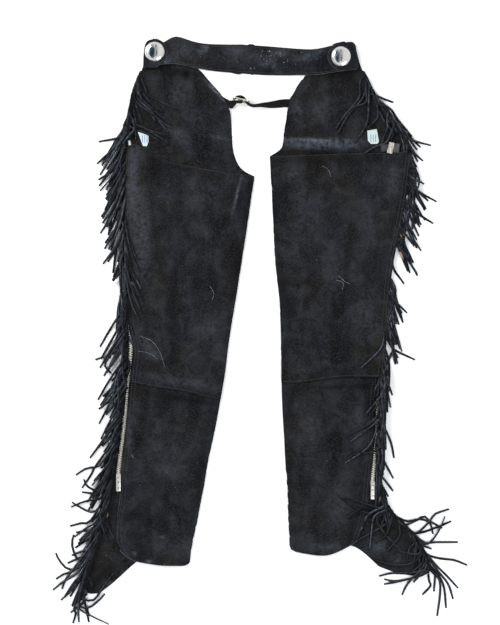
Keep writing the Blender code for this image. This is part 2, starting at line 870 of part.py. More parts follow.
def make_hips(part, cutters, belt, suede, metal):
    for name, tab in HIP_TABS.items():
        side = LEGS[name].side
        piece = flat_solid(f"hip_tab_{name}", tab_outline(tab, side), TAB_Z, SUEDE, suede, part)
        hole = rod(f"post_hole_{name}", (tab.x, tab.y, BELT_END_Z - CUTTER_MARGIN),
                   (tab.x, tab.y, CONCHO_Z + CUTTER_MARGIN), POST_HOLE, 16, cutters)
        cut(piece, hole)
        cut(belt, hole)

        profile = [(0, CONCHO_HEIGHT)]
        for k in range(1, CONCHO_DOME_STEPS + 1):
            angle = math.pi / 2 * (1 - k / CONCHO_DOME_STEPS)
            rise = (CONCHO_HEIGHT - CONCHO_EDGE_HEIGHT) * math.sin(angle)
            profile.append((CONCHO_RADIUS * math.cos(angle), CONCHO_EDGE_HEIGHT + rise))
        post_end = BELT_END_Z - CONCHO_Z + SEAM_GAP
        inside = CONCHO_HEIGHT - CONCHO_SHELL
        profile += [
            (CONCHO_RADIUS, 0),
            (CONCHO_RADIUS - CONCHO_RIM, 0),
            (CONCHO_HOLLOW_RADIUS, inside * CONCHO_HOLLOW_RISE),
            (POST_RADIUS, inside),
            (POST_RADIUS, post_end),
            (POST_BORE, post_end),
            (POST_BORE, 0),
            (0, 0),
        ]
        turned(f"concho_{name}", profile, tab.x, tab.y, CONCHO_Z, metal, part)

        head_z = BELT_END_Z + SEAM_GAP / 2 - SCREW_HEAD_HEIGHT - SEAM_GAP
        shank_top = CONCHO_Z - head_z - SCREW_SHORT_OF_CONCHO
        screw = [
            (0, shank_top),
            (SCREW_SHANK, shank_top),
            (SCREW_SHANK, SCREW_HEAD_HEIGHT),
            (SCREW_HEAD_RADIUS, SCREW_HEAD_HEIGHT),
            (SCREW_HEAD_RADIUS, SCREW_HEAD_EDGE),
            (SCREW_HEAD_RADIUS - SCREW_HEAD_ROUNDING, 0),
            (0, 0),
        ]
        turned(f"concho_screw_{name}", screw, tab.x, tab.y, head_z, metal, part)


def buckle_place(along, out, up=0.0):
    """A point near the buckle: along its length, out to its upper face, up its width."""
    length = Vector((math.cos(BUCKLE_HEADING), math.sin(BUCKLE_HEADING), 0))
    side = Vector((-math.sin(BUCKLE_HEADING), math.cos(BUCKLE_HEADING), 0))
    rise = side * math.cos(BUCKLE_LEAN) + Vector((0, 0, 1)) * math.sin(BUCKLE_LEAN)
    face = rise.cross(length) * -1
    middle = Vector((BUCKLE_X, BUCKLE_Y, BUCKLE_Z))
    return middle + length * along - face * out + rise * up


def make_buckle(part, cutters, metal):
    """A round-wire frame with a centre bar, and the prong that lies from bar to frame."""
    cx = BUCKLE_HALF_LENGTH - BUCKLE_CORNER
    cy = BUCKLE_HALF_WIDTH - BUCKLE_CORNER
    outline = []
    for quarter, (sign_x, sign_y) in enumerate([(1, 1), (-1, 1), (-1, -1), (1, -1)]):
        for k in range(BUCKLE_CORNER_STEPS + 1):
            angle = math.pi / 2 * (quarter + k / BUCKLE_CORNER_STEPS)
            outline.append((sign_x * cx + BUCKLE_CORNER * math.cos(angle),
                            sign_y * cy + BUCKLE_CORNER * math.sin(angle)))
    curve = bpy.data.curves.new("buckle_wire", "CURVE")
    curve.dimensions = "3D"
    curve.bevel_depth = BUCKLE_WIRE * MM
    curve.bevel_resolution = 1
    spline = curve.splines.new("POLY")
    spline.points.add(len(outline) - 1)
    for point, (along, up) in zip(spline.points, outline):
        point.co = (*(buckle_place(along, 0, up) * MM), 1)
    spline.use_cyclic_u = True
    guide = bpy.data.objects.new("buckle_wire", curve)
    part.objects.link(guide)
    frame = add_object("buckle_frame", mesh_of_curve(guide, "buckle_frame"), metal, part)
    bar = rod("buckle_bar", buckle_place(0, 0, -BUCKLE_HALF_WIDTH),
              buckle_place(0, 0, BUCKLE_HALF_WIDTH), BUCKLE_BAR, 8, cutters)
    cut(frame, bar, "UNION")
    lift = BUCKLE_WIRE + PRONG_WIRE + SEAM_GAP
    end = buckle_place(BUCKLE_HALF_LENGTH + PRONG_PAST_FRAME, lift)
    rod("buckle_prong", buckle_place(-PRONG_PAST_BAR, lift), end, PRONG_WIRE, 8, part, metal)
    hole_start = buckle_place(-PRONG_PAST_BAR - PRONG_HOLE_MARGIN, lift)
    return rod("prong_hole", hole_start, end, PRONG_HOLE, 10, cutters)


def strap_station(along, out, roll=BUCKLE_LEAN, up=0.0):
    place = buckle_place(along, out, up)
    return Ribbon(place.x, place.y, place.z, BUCKLE_HEADING, roll)


def make_straps(part, suede, prong_hole):
    """The left strap loops round the centre bar; the right one passes through and arches over."""
    flat_z = STRAP_THICKNESS / 2
    left = [
        Ribbon(-106, 464.5, flat_z, math.radians(-43), 0.0),
        Ribbon(-96, 455, flat_z, math.radians(-43), 0.0),
        Ribbon(-82, 443.5, flat_z, math.radians(-38), 0.0),
        Ribbon(-72, 436.5, flat_z, math.radians(-30), 0.0),
        Ribbon(-61.5, 431.2, flat_z, math.radians(-22), 0.0),
        Ribbon(-54, 429.4, 4.6, math.radians(-16), math.radians(26)),
        strap_station(-13.5, -5.8, math.radians(62), up=-2.6),
        strap_station(-8, -4.6),
        strap_station(-1, -3.4),
        strap_station(2.4, -2.0),
        strap_station(3.2, 0.2),
        strap_station(2.0, 2.2),
        strap_station(-1.0, 2.9),
    ]
    strap = loft("front_strap_left", ribbon_sections(left, STRAP_WIDTH, STRAP_THICKNESS),
                 suede, part)
    cut(strap, prong_hole)
    right = [
        Ribbon(75, 433, flat_z, 0.0, 0.0),
        Ribbon(50, 433, flat_z, 0.0, 0.0),
        Ribbon(38, 431.5, 3.8, 0.0, math.radians(18)),
        Ribbon(26, 429.5, 5.8, 0.0, math.radians(38)),
        Ribbon(14, 428.4, 7.8, math.radians(-4), math.radians(56)),
        Ribbon(2, 428.4, 10.0, math.radians(-9), math.radians(70)),
        strap_station(26, -5.0),
        strap_station(18, -4.4),
        strap_station(12.5, -2.2),
        strap_station(9.2, 1.6),
        strap_station(5.6, 5.4),
        strap_station(0, 7.4),
        strap_station(-5.6, 6.8),
        strap_station(-10.5, 3.6),
        strap_station(-13.0, 0.8),
    ]
    billet = loft("front_strap_right", ribbon_sections(right, STRAP_WIDTH, STRAP_THICKNESS),
                  suede, part)
    cut(billet, prong_hole)


def make_labels(part, cloth):
    for name, label in LABELS.items():
        half = Vector((label.width / 2, label.length / 2, LABEL_THICKNESS / 2))
        obj = box(f"label_{name}", -half, half, part, cloth)
        z = FRONT_TOP + SEAM_GAP + LABEL_THICKNESS / 2
        obj.location = (label.x * MM, label.y * MM, z * MM)
        obj.rotation_euler.z = math.radians(label.turn)


def fringe_section(near, far):
    """Upright section of a fringe solid, from the seam out to the strands' ends."""
    top = Vector((0, 0, FRINGE_THICKNESS))
    return [far, near, near + top, far + top]


def make_fringe(part, suede):
    """Plain solids of the fringe's reach, from the outseam's own points, moved out."""
    for name, leg in LEGS.items():
        points = front_points(leg)
        seam = [row[0] for row in points if row[0].y < FRINGE_START]
        first = 0
        for stretch, end_y in FRINGE_ENDS.items():
            last = max(k for k, point in enumerate(seam) if point.y >= end_y)
            sections = []
            for point in seam[first:last + 1]:
                y = point.y - (SEAM_GAP if point is seam[first] else 0)
                near = Vector((point.x + leg.side * SEAM_GAP * 2, y, 0))
                far = Vector((read_table(leg.reach, "y", y, "x"), y, 0))
                sections.append(fringe_section(near, far))
            loft(f"fringe_{stretch}_{name}", sections, suede, part)
            first = last
        sections = []
        for point, reach in zip(points[-1], leg.hem_reach):
            near = Vector((point.x, point.y - SEAM_GAP * 2, 0))
            sections.append(fringe_section(near, Vector((reach.x, reach.y, 0))))
        loft(f"fringe_hem_{name}", sections, suede, part)


def main():
    clear_scene()
    part = new_collection("fringed_suede_chaps")
    cutters = new_collection("cutters")
    suede = make_material("black_suede", (0.012, 0.012, 0.013), 0.95)
    metal = make_material("silver_metal", (0.75, 0.75, 0.74), 0.25, 1.0)
    tape = make_material("zip_tape", (0.02, 0.02, 0.02), 0.9)
    cloth = make_material("woven_label", (0.85, 0.86, 0.88), 0.8)
    make_leg_panels(part, suede)
    make_zips(part, cutters, tape, metal)
    belt = make_belt(part, suede)
    make_hips(part, cutters, belt, suede, metal)
    prong_hole = make_buckle(part, cutters, metal)
    make_straps(part, suede, prong_hole)
    make_labels(part, cloth)
    make_fringe(part, suede)


main()
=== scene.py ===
"""Black suede chaps with fringed outseams and zipped legs, laid flat with their back side up.

The script follows the garment as it is put together, from the fronts, which lie lowest, to the
fringe. Sizes in the tables are millimetres in the frame's own axes. The fringe is laid from the
photograph, so its table is in the photograph's pixels, each 1.9 mm of the garment.
"""
import json
import math
import random
from collections import namedtuple

import bmesh
import bpy
import numpy as np
from mathutils import Matrix, Vector, noise
from mathutils.bvhtree import BVHTree


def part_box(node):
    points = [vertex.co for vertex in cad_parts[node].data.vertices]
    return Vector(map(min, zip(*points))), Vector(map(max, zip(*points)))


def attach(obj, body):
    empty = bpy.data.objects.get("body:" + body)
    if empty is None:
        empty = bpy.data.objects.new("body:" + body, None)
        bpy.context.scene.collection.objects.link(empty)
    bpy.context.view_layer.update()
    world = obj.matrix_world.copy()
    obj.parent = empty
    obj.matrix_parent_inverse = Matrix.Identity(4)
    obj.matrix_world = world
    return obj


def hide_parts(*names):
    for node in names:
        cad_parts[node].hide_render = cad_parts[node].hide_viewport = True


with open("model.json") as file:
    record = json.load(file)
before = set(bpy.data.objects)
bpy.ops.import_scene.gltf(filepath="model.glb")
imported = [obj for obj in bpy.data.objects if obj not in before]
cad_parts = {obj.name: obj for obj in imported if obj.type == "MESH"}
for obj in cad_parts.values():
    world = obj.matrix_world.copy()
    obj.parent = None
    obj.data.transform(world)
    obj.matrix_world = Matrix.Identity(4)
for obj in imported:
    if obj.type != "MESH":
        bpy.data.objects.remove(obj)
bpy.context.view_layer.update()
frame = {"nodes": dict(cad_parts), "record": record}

# Front panels. The long front of each leg is one piece of black suede, from the belt down to the
# flap below the zip. They lie lowest, inside face up, so their napped flesh side shows above the
# backs and beside them. Cut edges are raw and painted a little paler than the face, partly as a
# painted highlight where they catch the light.

MM = 0.001
SUEDE = 1.4 * MM
CUT_EDGE = 0.8 * MM
SAME_PLACE = 0.01 * MM
SAME_FACE = math.radians(45)

Crease = namedtuple("Crease", "x0 y0 x1 y1 width height")
# A soft oval of paint, as its table says: worn nap, a painted highlight on a roll, ridge or lit edge, or
# painted shade
SoftOval = namedtuple("SoftOval", "x y rx ry turn strength")
# The flat piece that each was cut as, in metres and square metres
Cut = namedtuple("Cut", "width length area")
# How pale each side's cut edge is painted, its raw colour with a painted highlight where it catches
# the light: away from the other leg, towards it, down and up. Below 0 is dark, painted shade, as
# along the thigh's lapped edge at the knee seam
Edges = namedtuple("Edges", "out into down up")


def add_object(name, mesh, *materials):
    obj = bpy.data.objects.new(name, mesh)
    bpy.context.scene.collection.objects.link(obj)
    for material in materials:
        mesh.materials.append(material)
    return obj


def mesh_of(name, bm):
    """Ends a bmesh and gives its mesh, shaded smooth."""
    mesh = bpy.data.meshes.new(name)
    bm.to_mesh(mesh)
    bm.free()
    for polygon in mesh.polygons:
        polygon.use_smooth = True
    return mesh


def bm_of(mesh):
    bm = bmesh.new()
    bm.from_mesh(mesh)
    return bm


def merged(node):
    """A copy of a CAD node's mesh with its loose triangles joined at their corners."""
    bm = bm_of(frame["nodes"][node].data)
    bmesh.ops.remove_doubles(bm, verts=bm.verts, dist=SAME_PLACE)
    return bm


def finished_mesh(obj, *spare):
    """The mesh that an object's modifiers give. The object and its spare tools go."""
    graph = bpy.context.evaluated_depsgraph_get()
    graph.update()
    mesh = bpy.data.meshes.new_from_object(obj.evaluated_get(graph))
    for used in (obj, *spare):
        bpy.data.objects.remove(used, do_unlink=True)
    return mesh


def quads(bm):
    """Joins triangles to the quads that they were cut from."""
    bmesh.ops.join_triangles(bm, faces=bm.faces, angle_face_threshold=math.pi,
                             angle_shape_threshold=math.pi)
    return bm


def upper_face(node):
    """The upper side of a CAD shell, as one open surface of quads."""
    bm = merged(node)
    bm.normal_update()
    start = max(bm.faces, key=lambda f: f.normal.z * (1 + f.calc_center_median().z))
    found = {start}
    ahead = [start]
    while ahead:
        for edge in ahead.pop().edges:
            if len(edge.link_faces) == 2 and edge.calc_face_angle() < SAME_FACE:
                new = [f for f in edge.link_faces if f not in found]
                found.update(new)
                ahead += new
    bmesh.ops.delete(bm, geom=[f for f in bm.faces if f not in found], context="FACES")
    return quads(bm)


def subdivided(name, bm, levels):
    """The same surface, smooth between its points, with its corners kept."""
    cage = add_object(name + "_cage", mesh_of(name + "_cage", bm))
    step = cage.modifiers.new("Smooth", "SUBSURF")
    step.levels = step.render_levels = levels
    step.boundary_smooth = "PRESERVE_CORNERS"
    return bm_of(finished_mesh(cage))


def belongs(obj, node=None, body="garment"):
    """Attaches a piece to its body and hides the CAD node that it stands for."""
    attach(obj, body)
    if node:
        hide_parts(node)
    return obj


def add_wall(obj, thickness, offset):
    wall = obj.modifiers.new("Wall", "SOLIDIFY")
    wall.thickness = thickness
    wall.offset = offset


def crease_heights(places, creases):
    """Height of soft ridges and troughs at places. Each fades beside its line and at its ends."""
    heights = np.zeros(len(places))
    for crease in creases:
        start = np.array((crease.x0, crease.y0)) * MM
        run = np.array((crease.x1, crease.y1)) * MM - start
        along = np.clip((places - start) @ run / (run @ run), 0, 1)
        away = np.linalg.norm(places - start - along[:, None] * run, axis=1)
        across = np.exp(-2 * (away / (crease.width * MM)) ** 2)
        heights += crease.height * MM * across * np.sin(np.pi * along) ** 0.6
    return heights


def oval_strengths(places, ovals):
    """Strength at places of soft slanting ovals: worn nap, painted highlights and painted shade. The
    material breaks the pale ones up by the grain.
    """
    wear_and_painted_light = np.zeros(len(places))
    for wear_and_light in ovals:
        turn = math.radians(wear_and_light.turn)
        away = places / MM - np.array((wear_and_light.x, wear_and_light.y))
        along = (away[:, 0] * math.cos(turn) + away[:, 1] * math.sin(turn)) / wear_and_light.rx
        across = (away[:, 1] * math.cos(turn) - away[:, 0] * math.sin(turn)) / wear_and_light.ry
        wear_and_painted_light += wear_and_light.strength * np.exp(-(along ** 2 + across ** 2))
    return wear_and_painted_light


def paint(mesh, name, values):
    """Keeps a number at each point of a mesh for its material to read."""
    layer = mesh.attributes.new(name, "FLOAT", "POINT")
    layer.data.foreach_set("value", np.asarray(values, np.float32))


def edge_paleness(bm, side, edges):
    """Paleness painted at each point of an open surface, the raw edge's colour with a painted highlight:
    only its border has any, and below 0 it stands for painted shade.
    """
    pale = [0.0] * len(bm.verts)
    bm.verts.index_update()
    for vert in bm.verts:
        if not vert.is_boundary:
            continue
        outward = Vector((0, 0, 0))
        for edge in vert.link_edges:
            if edge.is_boundary:
                middle = (edge.verts[0].co + edge.verts[1].co) / 2
                run = edge.verts[1].co - edge.verts[0].co
                away = run.cross(Vector((0, 0, 1))).normalized()
                inside = edge.link_faces[0].calc_center_median() - middle
                outward += away if away.dot(inside) < 0 else -away
        outward.normalize()
        patchy = 0.75 + 0.5 * noise.noise(vert.co * 60)
        pale[vert.index] = patchy * (
            edges.out * max(0, outward.x * side) ** 2 + edges.into * max(0, -outward.x * side) ** 2
            + edges.down * max(0, -outward.y) ** 2 + edges.up * max(0, outward.y) ** 2)
    return pale


def cloth(name, bm, side, material, node=None, creases=(), ovals=(), shades=(),
          edges=Edges(0, 0, 0, 0), sway=0.0, thickness=SUEDE, offset=-1.0, shape=None):
    """A thin shell of suede on an open surface: its border, creases, wear, painted highlights and painted
    shade, and thickness.

    node is the CAD node that it stands for, and sway the height of the slow waves that no laid
    cloth is without. shape, if given, moves each point further.
    """
    bmesh.ops.inset_region(bm, faces=bm.faces, thickness=CUT_EDGE, use_boundary=True,
                           use_even_offset=True)
    bm.normal_update()
    pale = edge_paleness(bm, side, edges)
    places = np.array([v.co[:] for v in bm.verts])
    lift = crease_heights(places[:, :2], creases)
    wear_and_painted_light = oval_strengths(places[:, :2], ovals)
    shade = oval_strengths(places[:, :2], shades)
    for vert, height in zip(bm.verts, lift):
        if sway:
            height += sway * (0.5 + noise.fractal(vert.co * 22, 1.0, 2.0, 3))
        vert.co += vert.normal * height
        if shape:
            shape(vert)
    mesh = mesh_of(name, bm)
    # The border's paleness is partly a painted highlight. Below 0 it is painted as shade, along with the
    # painted shade ovals
    paint(mesh, "edge", [max(share, 0.0) for share in pale])
    paint(mesh, "wear_and_light", wear_and_painted_light)
    paint(mesh, "shade", np.maximum(shade, np.maximum(-np.array(pale), 0.0)))
    obj = add_object(name, mesh, material)
    add_wall(obj, thickness, offset)
    return belongs(obj, node)


def add_node(tree, kind, inputs=(), **settings):
    """A shader node, its inputs set to values or linked to other nodes' sockets."""
    made = tree.nodes.new(kind)
    for key, value in settings.items():
        setattr(made, key, value)
    for socket, value in dict(inputs).items():
        if isinstance(value, bpy.types.NodeSocket):
            tree.links.new(value, made.inputs[socket])
        else:
            made.inputs[socket].default_value = value
    return made


def new_material(name, roughness):
    """A material, its tree, its shader and the place on the garment that its pattern reads."""
    material = bpy.data.materials.new(name)
    material.use_nodes = True
    tree = material.node_tree
    shader = tree.nodes["Principled BSDF"]
    shader.inputs["Roughness"].default_value = roughness
    return material, tree, shader, add_node(tree, "ShaderNodeTexCoord").outputs["Object"]


def mixed(tree, share, first, second):
    """One colour over another, by a share."""
    mix = tree.nodes.new("ShaderNodeMix")
    mix.data_type = "RGBA"
    for socket, value in ((mix.inputs[0], share), (mix.inputs[6], first), (mix.inputs[7], second)):
        if isinstance(value, bpy.types.NodeSocket):
            tree.links.new(value, socket)
        elif isinstance(value, tuple):
            socket.default_value = (*value, 1.0)
        else:
            socket.default_value = value
    return mix.outputs[2]


def grain(tree, place, scale, low, high, detail=3.0, stretch=0.0):
    """Noise over a place, spread from 0 at low to 1 at high."""
    made = add_node(tree, "ShaderNodeTexNoise", {"Vector": place, "Scale": scale, "Detail": detail,
                                                 "Distortion": stretch})
    spread = add_node(tree, "ShaderNodeMapRange", {"Value": made.outputs["Fac"], "From Min": low,
                                                   "From Max": high})
    return spread.outputs["Result"]


def read(tree, name):
    """A number that was painted on the mesh."""
    return add_node(tree, "ShaderNodeAttribute", attribute_name=name).outputs["Fac"]


def times(tree, first, second):
    return add_node(tree, "ShaderNodeMath", {0: first, 1: second}, operation="MULTIPLY").outputs[0]


def mapped(tree, place, **turns):
    """A place, moved, turned or scaled."""
    inputs = {key.capitalize(): value for key, value in turns.items()}
    return add_node(tree, "ShaderNodeMapping", {"Vector": place, **inputs}).outputs[0]


def speckle(tree, place, scale, detail):
    """Plain noise over a place."""
    made = add_node(tree, "ShaderNodeTexNoise", {"Vector": place, "Scale": scale, "Detail": detail})
    return made.outputs["Fac"]


def raised(tree, height, strength, distance, **under):
    """Relief from a height, over any relief under it."""
    inputs = {"Height": height, "Strength": strength, "Distance": distance, **under}
    return add_node(tree, "ShaderNodeBump", inputs).outputs[0]


def dress(tree, shader, color, relief=None):
    """Gives a shader its colour and its relief."""
    tree.links.new(color, shader.inputs["Base Color"])
    if relief:
        tree.links.new(relief, shader.inputs["Normal"])


def suede(name, shift, dust, brown, nap=1.0):
    """Napped black suede: bluish where the nap lies one way, brown-black where it lies the other.

    shift moves the pattern so that no two panels match. dust is how many pale flecks it holds,
    brown how much of it is brownish, nap how light the brushed places are.
    """
    material, tree, shader, where = new_material(name, 0.92)
    place = mapped(tree, where, location=shift)

    warm = grain(tree, place, 9, 0.38 + 0.2 * (0.5 - brown), 0.66 + 0.2 * (0.5 - brown), 2.0)
    color = mixed(tree, warm, (0.0070, 0.0080, 0.0104), (0.0095, 0.0078, 0.0058))
    brushed = times(tree, grain(tree, place, 34, 0.42, 0.72, 5.0, 0.8), 0.46 * nap)
    color = mixed(tree, brushed, color, (0.036, 0.040, 0.047))
    streaks = mapped(tree, place, scale=(1.0, 0.28, 1.0))
    deep = times(tree, grain(tree, streaks, 26, 0.46, 0.66, 4.0, 0.5), 0.8)
    color = mixed(tree, deep, color, (0.0022, 0.0020, 0.0020))
    tooth = grain(tree, place, 420, 0.44, 0.80, 3.0)
    color = mixed(tree, times(tree, tooth, 0.6), color, (0.034, 0.036, 0.040))
    pits = grain(tree, place, 330, 0.48, 0.76, 3.0)
    color = mixed(tree, times(tree, pits, 0.6), color, (0.0012, 0.0012, 0.0014))

    gather = grain(tree, place, 22, 0.45, 0.75, 2.0)
    fleck = times(tree, grain(tree, place, 330, 0.72, 0.80, 1.0), gather)
    color = mixed(tree, times(tree, fleck, dust), color, (0.20, 0.20, 0.20))

    # Painted on the mesh: worn nap and painted highlights in a paler blue, painted shade near black, and
    # cut edges paler, partly as a painted highlight
    rubbed_and_highlight = times(tree, read(tree, "wear_and_light"), grain(tree, place, 150, 0.30, 0.62, 4.0))
    color = mixed(tree, rubbed_and_highlight, color, (0.105, 0.122, 0.150))
    color = mixed(tree, read(tree, "shade"), color, (0.0035, 0.0032, 0.0032))
    raw_edge_and_highlight = times(tree, read(tree, "edge"), grain(tree, place, 120, 0.20, 0.55, 3.0))
    color = mixed(tree, raw_edge_and_highlight, color, (0.16, 0.15, 0.14))

    fine = speckle(tree, place, 900.0, 3.0)
    low = raised(tree, speckle(tree, place, 95.0, 4.0), 0.5, 0.0012)
    dress(tree, shader, color, raised(tree, fine, 0.6, 0.0004, Normal=low))
    shader.inputs["Specular IOR Level"].default_value = 0.03
    shader.inputs["Sheen Weight"].default_value = 0.025
    shader.inputs["Sheen Roughness"].default_value = 0.45
    shader.inputs["Sheen Tint"].default_value = (0.75, 0.82, 1.0, 1.0)
    return material


SIDES = {"left": -1, "right": 1}
FRONT_CREASES = {
    "left": [
        Crease(-163, 388, -137, 338, 5, 1.3),
        Crease(-100, 474, -64, 438, 2.6, 1.0),
        Crease(-137, 338, -141, 306, 5, 1.0),
        Crease(-95, 370, -53, 364, 3, -0.7),
        Crease(-122, 404, -104, 380, 4, 0.7),
        Crease(-186, 470, -192, 420, 16, 1.4),
        Crease(-150, 480, -110, 440, 20, 1.0),
        Crease(-225, 430, -180, 400, 12, 0.9),
        Crease(-210, 376, -168, 352, 8, 0.7),
        Crease(-300, -385, -278, -470, 12, 1.4),
        Crease(-318, -452, -286, -488, 7, 0.9),
    ],
    "right": [
        Crease(42, 364, 160, 361, 2.2, 1.3),
        Crease(46, 369, 150, 367, 3.5, -0.7),
        Crease(44, 352, 176, 350, 11, 1.4),
        Crease(150, 362, 178, 340, 6, 0.9),
        Crease(100, 470, 130, 400, 18, 1.2),
        Crease(162, 400, 196, 356, 9, 1.0),
        Crease(176, 450, 186, 404, 10, 1.1),
        Crease(64, 420, 92, 386, 13, 0.8),
        Crease(250, -368, 300, -424, 10, 1.3),
        Crease(262, -420, 318, -440, 7, 0.8),
    ],
}
# Paler places: worn nap, and painted highlights on the lit side of the left front's creases, on its edge
# by the belt and along the right front's roll
FRONT_WEAR_AND_HIGHLIGHTS = {
    "left": [
        SoftOval(-160, 446, 22, 16, 30, 0.14),
        SoftOval(-122, 408, 26, 20, -40, 0.10),
        SoftOval(-146, 366, 8, 22, 30, 0.22),
        SoftOval(-153, 355, 36, 3.6, -64, 0.45),
        SoftOval(-83, 454, 26, 3.2, -46, 0.65),
        SoftOval(-78, 367, 24, 2.5, -8, 0.30),
        SoftOval(-92, 318, 40, 3, -14, 0.22),
        SoftOval(-289, -478, 5, 4, 0, 0.6),
        SoftOval(-279, -428, 8, 10, 20, 0.16),
    ],
    "right": [
        SoftOval(96, 362, 56, 4.0, -1, 0.50),
        SoftOval(110, 354, 62, 9, -1, 0.40),
        SoftOval(170, 356, 22, 12, 20, 0.22),
        SoftOval(70, 420, 12, 26, 10, 0.20),
        SoftOval(120, 420, 28, 22, 0, 0.12),
        SoftOval(228, -408, 10, 14, 40, 0.30),
        SoftOval(262, -430, 12, 7, 30, 0.25),
    ],
}
# Darker places: under the belt's edge and in the hollow of the flap
FRONT_SHADES = {
    "left": [
        SoftOval(-170, 494, 60, 12, -8, 0.55),
        SoftOval(-140, 488, 6, 9, 0, 0.8),
        SoftOval(-222, 470, 14, 40, 0, 0.35),
        SoftOval(-100, 330, 60, 12, -14, 0.25),
        SoftOval(-306, -470, 12, 30, -22, 0.7),
        SoftOval(-250, -360, 20, 60, -20, 0.4),
    ],
    "right": [
        SoftOval(150, 486, 50, 10, 10, 0.55),
        SoftOval(176, 470, 12, 30, 20, 0.5),
        SoftOval(108, 340, 70, 5, -1, 0.7),
        SoftOval(214, 420, 14, 40, 30, 0.4),
        SoftOval(280, -400, 30, 14, -50, 0.5),
    ],
}
FRONT_EDGES = {"left": Edges(0.3, 0.35, 0.15, 0.2), "right": Edges(0.3, 0.4, 0.15, 0.2)}


def above_floor(vert):
    """A trough can't sink the front into what it lies on."""
    vert.co.z = max(vert.co.z, SUEDE)


def edge_line(bm, side, reach, heights=None):
    """Y and X of an open surface's outer edge, from its border's points near some heights."""
    border = np.array([v.co[:] for v in bm.verts if v.is_boundary])
    if heights is None:
        heights = np.arange(border[:, 1].min(), border[:, 1].max(), 4 * MM)
    near = [border[np.abs(border[:, 1] - y) < reach] for y in heights]
    kept = [(y, points[np.argmax(points[:, 0] * side), 0]) for y, points in zip(heights, near)
            if len(points)]
    return [y for y, x in kept], [x for y, x in kept]


fronts = {}
outseams = {}
for name, side in SIDES.items():
    surface = subdivided(f"front_{name}", upper_face(f"front_panel_{name}"), 3)
    # The outseam is the border's outermost point at each height, and the fringe hangs from it
    outseams[name] = edge_line(surface, side, 8 * MM, np.arange(-0.505, 0.52, 0.005))
    material = suede(f"suede_front_{name}", (0.3 * side, 0.1, 0), dust=0.18, brown=0.62, nap=0.9)
    fronts[name] = cloth(f"front_{name}", surface, side, material, f"front_panel_{name}",
                         FRONT_CREASES[name], FRONT_WEAR_AND_HIGHLIGHTS[name], FRONT_SHADES[name],
                         FRONT_EDGES[name], shape=above_floor)

# Zips. A metal zip on black woven tape closes each outseam, from the back panel's top edge down to
# the slider. The teeth are pressed in turn on the tape's two edges. Each slider carries its pull
# on a bail.

TOOTH_PITCH = 3.3 * MM
TOOTH = Vector((4.1, 1.45, 2.3)) * MM
TOOTH_EDGE = 0.3 * MM
TOOTH_ROW = 1.4 * MM

PULL_LENGTH = 30 * MM
PULL_WIDTH = 8.4 * MM
PULL_THICKNESS = 1.4 * MM
PULL_DROOP = math.radians(3)
PULL_CORNER = 1.9 * MM
PULL_RIM = 0.22 * MM
PULL_WINDOW = (3.5 * MM, 5.8 * MM, 4 * MM)
WINDOW_DROP = 1.8 * MM
# Each hole's distance from the pull's axis and its radius
PULL_HOLES = ((12.5 * MM, 1.3 * MM), (23.5 * MM, 1.1 * MM))
PIN_RADIUS = 0.85 * MM
PIN_INSET = 1.4 * MM
SHARP_FROM = math.radians(35)
# The slider's parts, above and below its pull's axis
SLIDER_TOP = -1.46 * MM
SLIDER_BOTTOM = -5.66 * MM
SLIDER_WALL = 0.75 * MM
SLIDER_WIDTH = 8.8 * MM
SLIDER_LENGTH = 11 * MM
PLATE_EDGE = 0.25 * MM
GUIDE_WALL = 0.9 * MM
GUIDE_INSET = 1.1 * MM
GUIDE_SHARE = 0.62
# How much the slider's plates narrow towards the belt and towards the foot
SLIDER_TAPER = (0.72, 0.9)
BAIL_WIDTH = 2.0 * MM
BAIL_WIRE = 0.85 * MM
BAIL_RADIUS = 3.05 * MM
BAIL_FLATNESS = 0.92


def metal(name, color, roughness, cloudy, scratch=0.12):
    """Plated metal with fine scratches and a slightly cloudy polish."""
    material, tree, shader, place = new_material(name, roughness)
    clouds = grain(tree, place, 120, 0.4, 0.7)
    dull = tuple(c * (1 - cloudy) for c in color)
    spread = add_node(tree, "ShaderNodeMapRange", {"Value": clouds, "To Min": roughness,
                                                   "To Max": roughness + 0.14})
    tree.links.new(spread.outputs["Result"], shader.inputs["Roughness"])
    lines = mapped(tree, place, scale=(1.0, 0.08, 1.0), rotation=(0.0, 0.0, 0.6))
    relief = raised(tree, speckle(tree, lines, 2600.0, 2.0), scratch, 0.00005)
    dress(tree, shader, mixed(tree, clouds, color, dull), relief)
    shader.inputs["Metallic"].default_value = 1.0
    return material


def ribs(tree, place, scale, distortion, **settings):
    """The waves of a weave over a place."""
    made = add_node(tree, "ShaderNodeTexWave", {"Vector": place, "Scale": scale,
                                                "Distortion": distortion}, **settings)
    return made.outputs["Fac"]


def woven_tape(name, color, pale):
    """Herringbone tape: a fine diagonal rib."""
    material, tree, shader, place = new_material(name, 0.85)
    rib = ribs(tree, place, 620.0, 1.5, bands_direction="DIAGONAL")
    dress(tree, shader, mixed(tree, rib, color, pale), raised(tree, rib, 0.6, 0.0002))
    return material


def block(bm, size, place=(0, 0, 0), edge=0.0):
    """A box with softened edges in a bmesh. Gives its points."""
    made = bmesh.ops.create_cube(bm, size=1)["verts"]
    bmesh.ops.scale(bm, vec=size, verts=made)
    bmesh.ops.translate(bm, vec=place, verts=made)
    if not edge:
        return made
    before = set(bm.verts) - set(made)
    rounded(bm, list({e for v in made for e in v.link_edges}), edge, 1)
    return [v for v in bm.verts if v not in before]


def chain_line(name):
    """Middle of a closed zip from its top down to the slider, read from its plain bar."""
    rows = {}
    bar = merged(f"zip_chain_{name}")
    for vert in bar.verts:
        rows.setdefault(round(vert.co.y, 4), []).append(vert.co.copy())
    bar.free()
    return [sum(row, Vector()) / len(row) for y, row in sorted(rows.items(), reverse=True)]


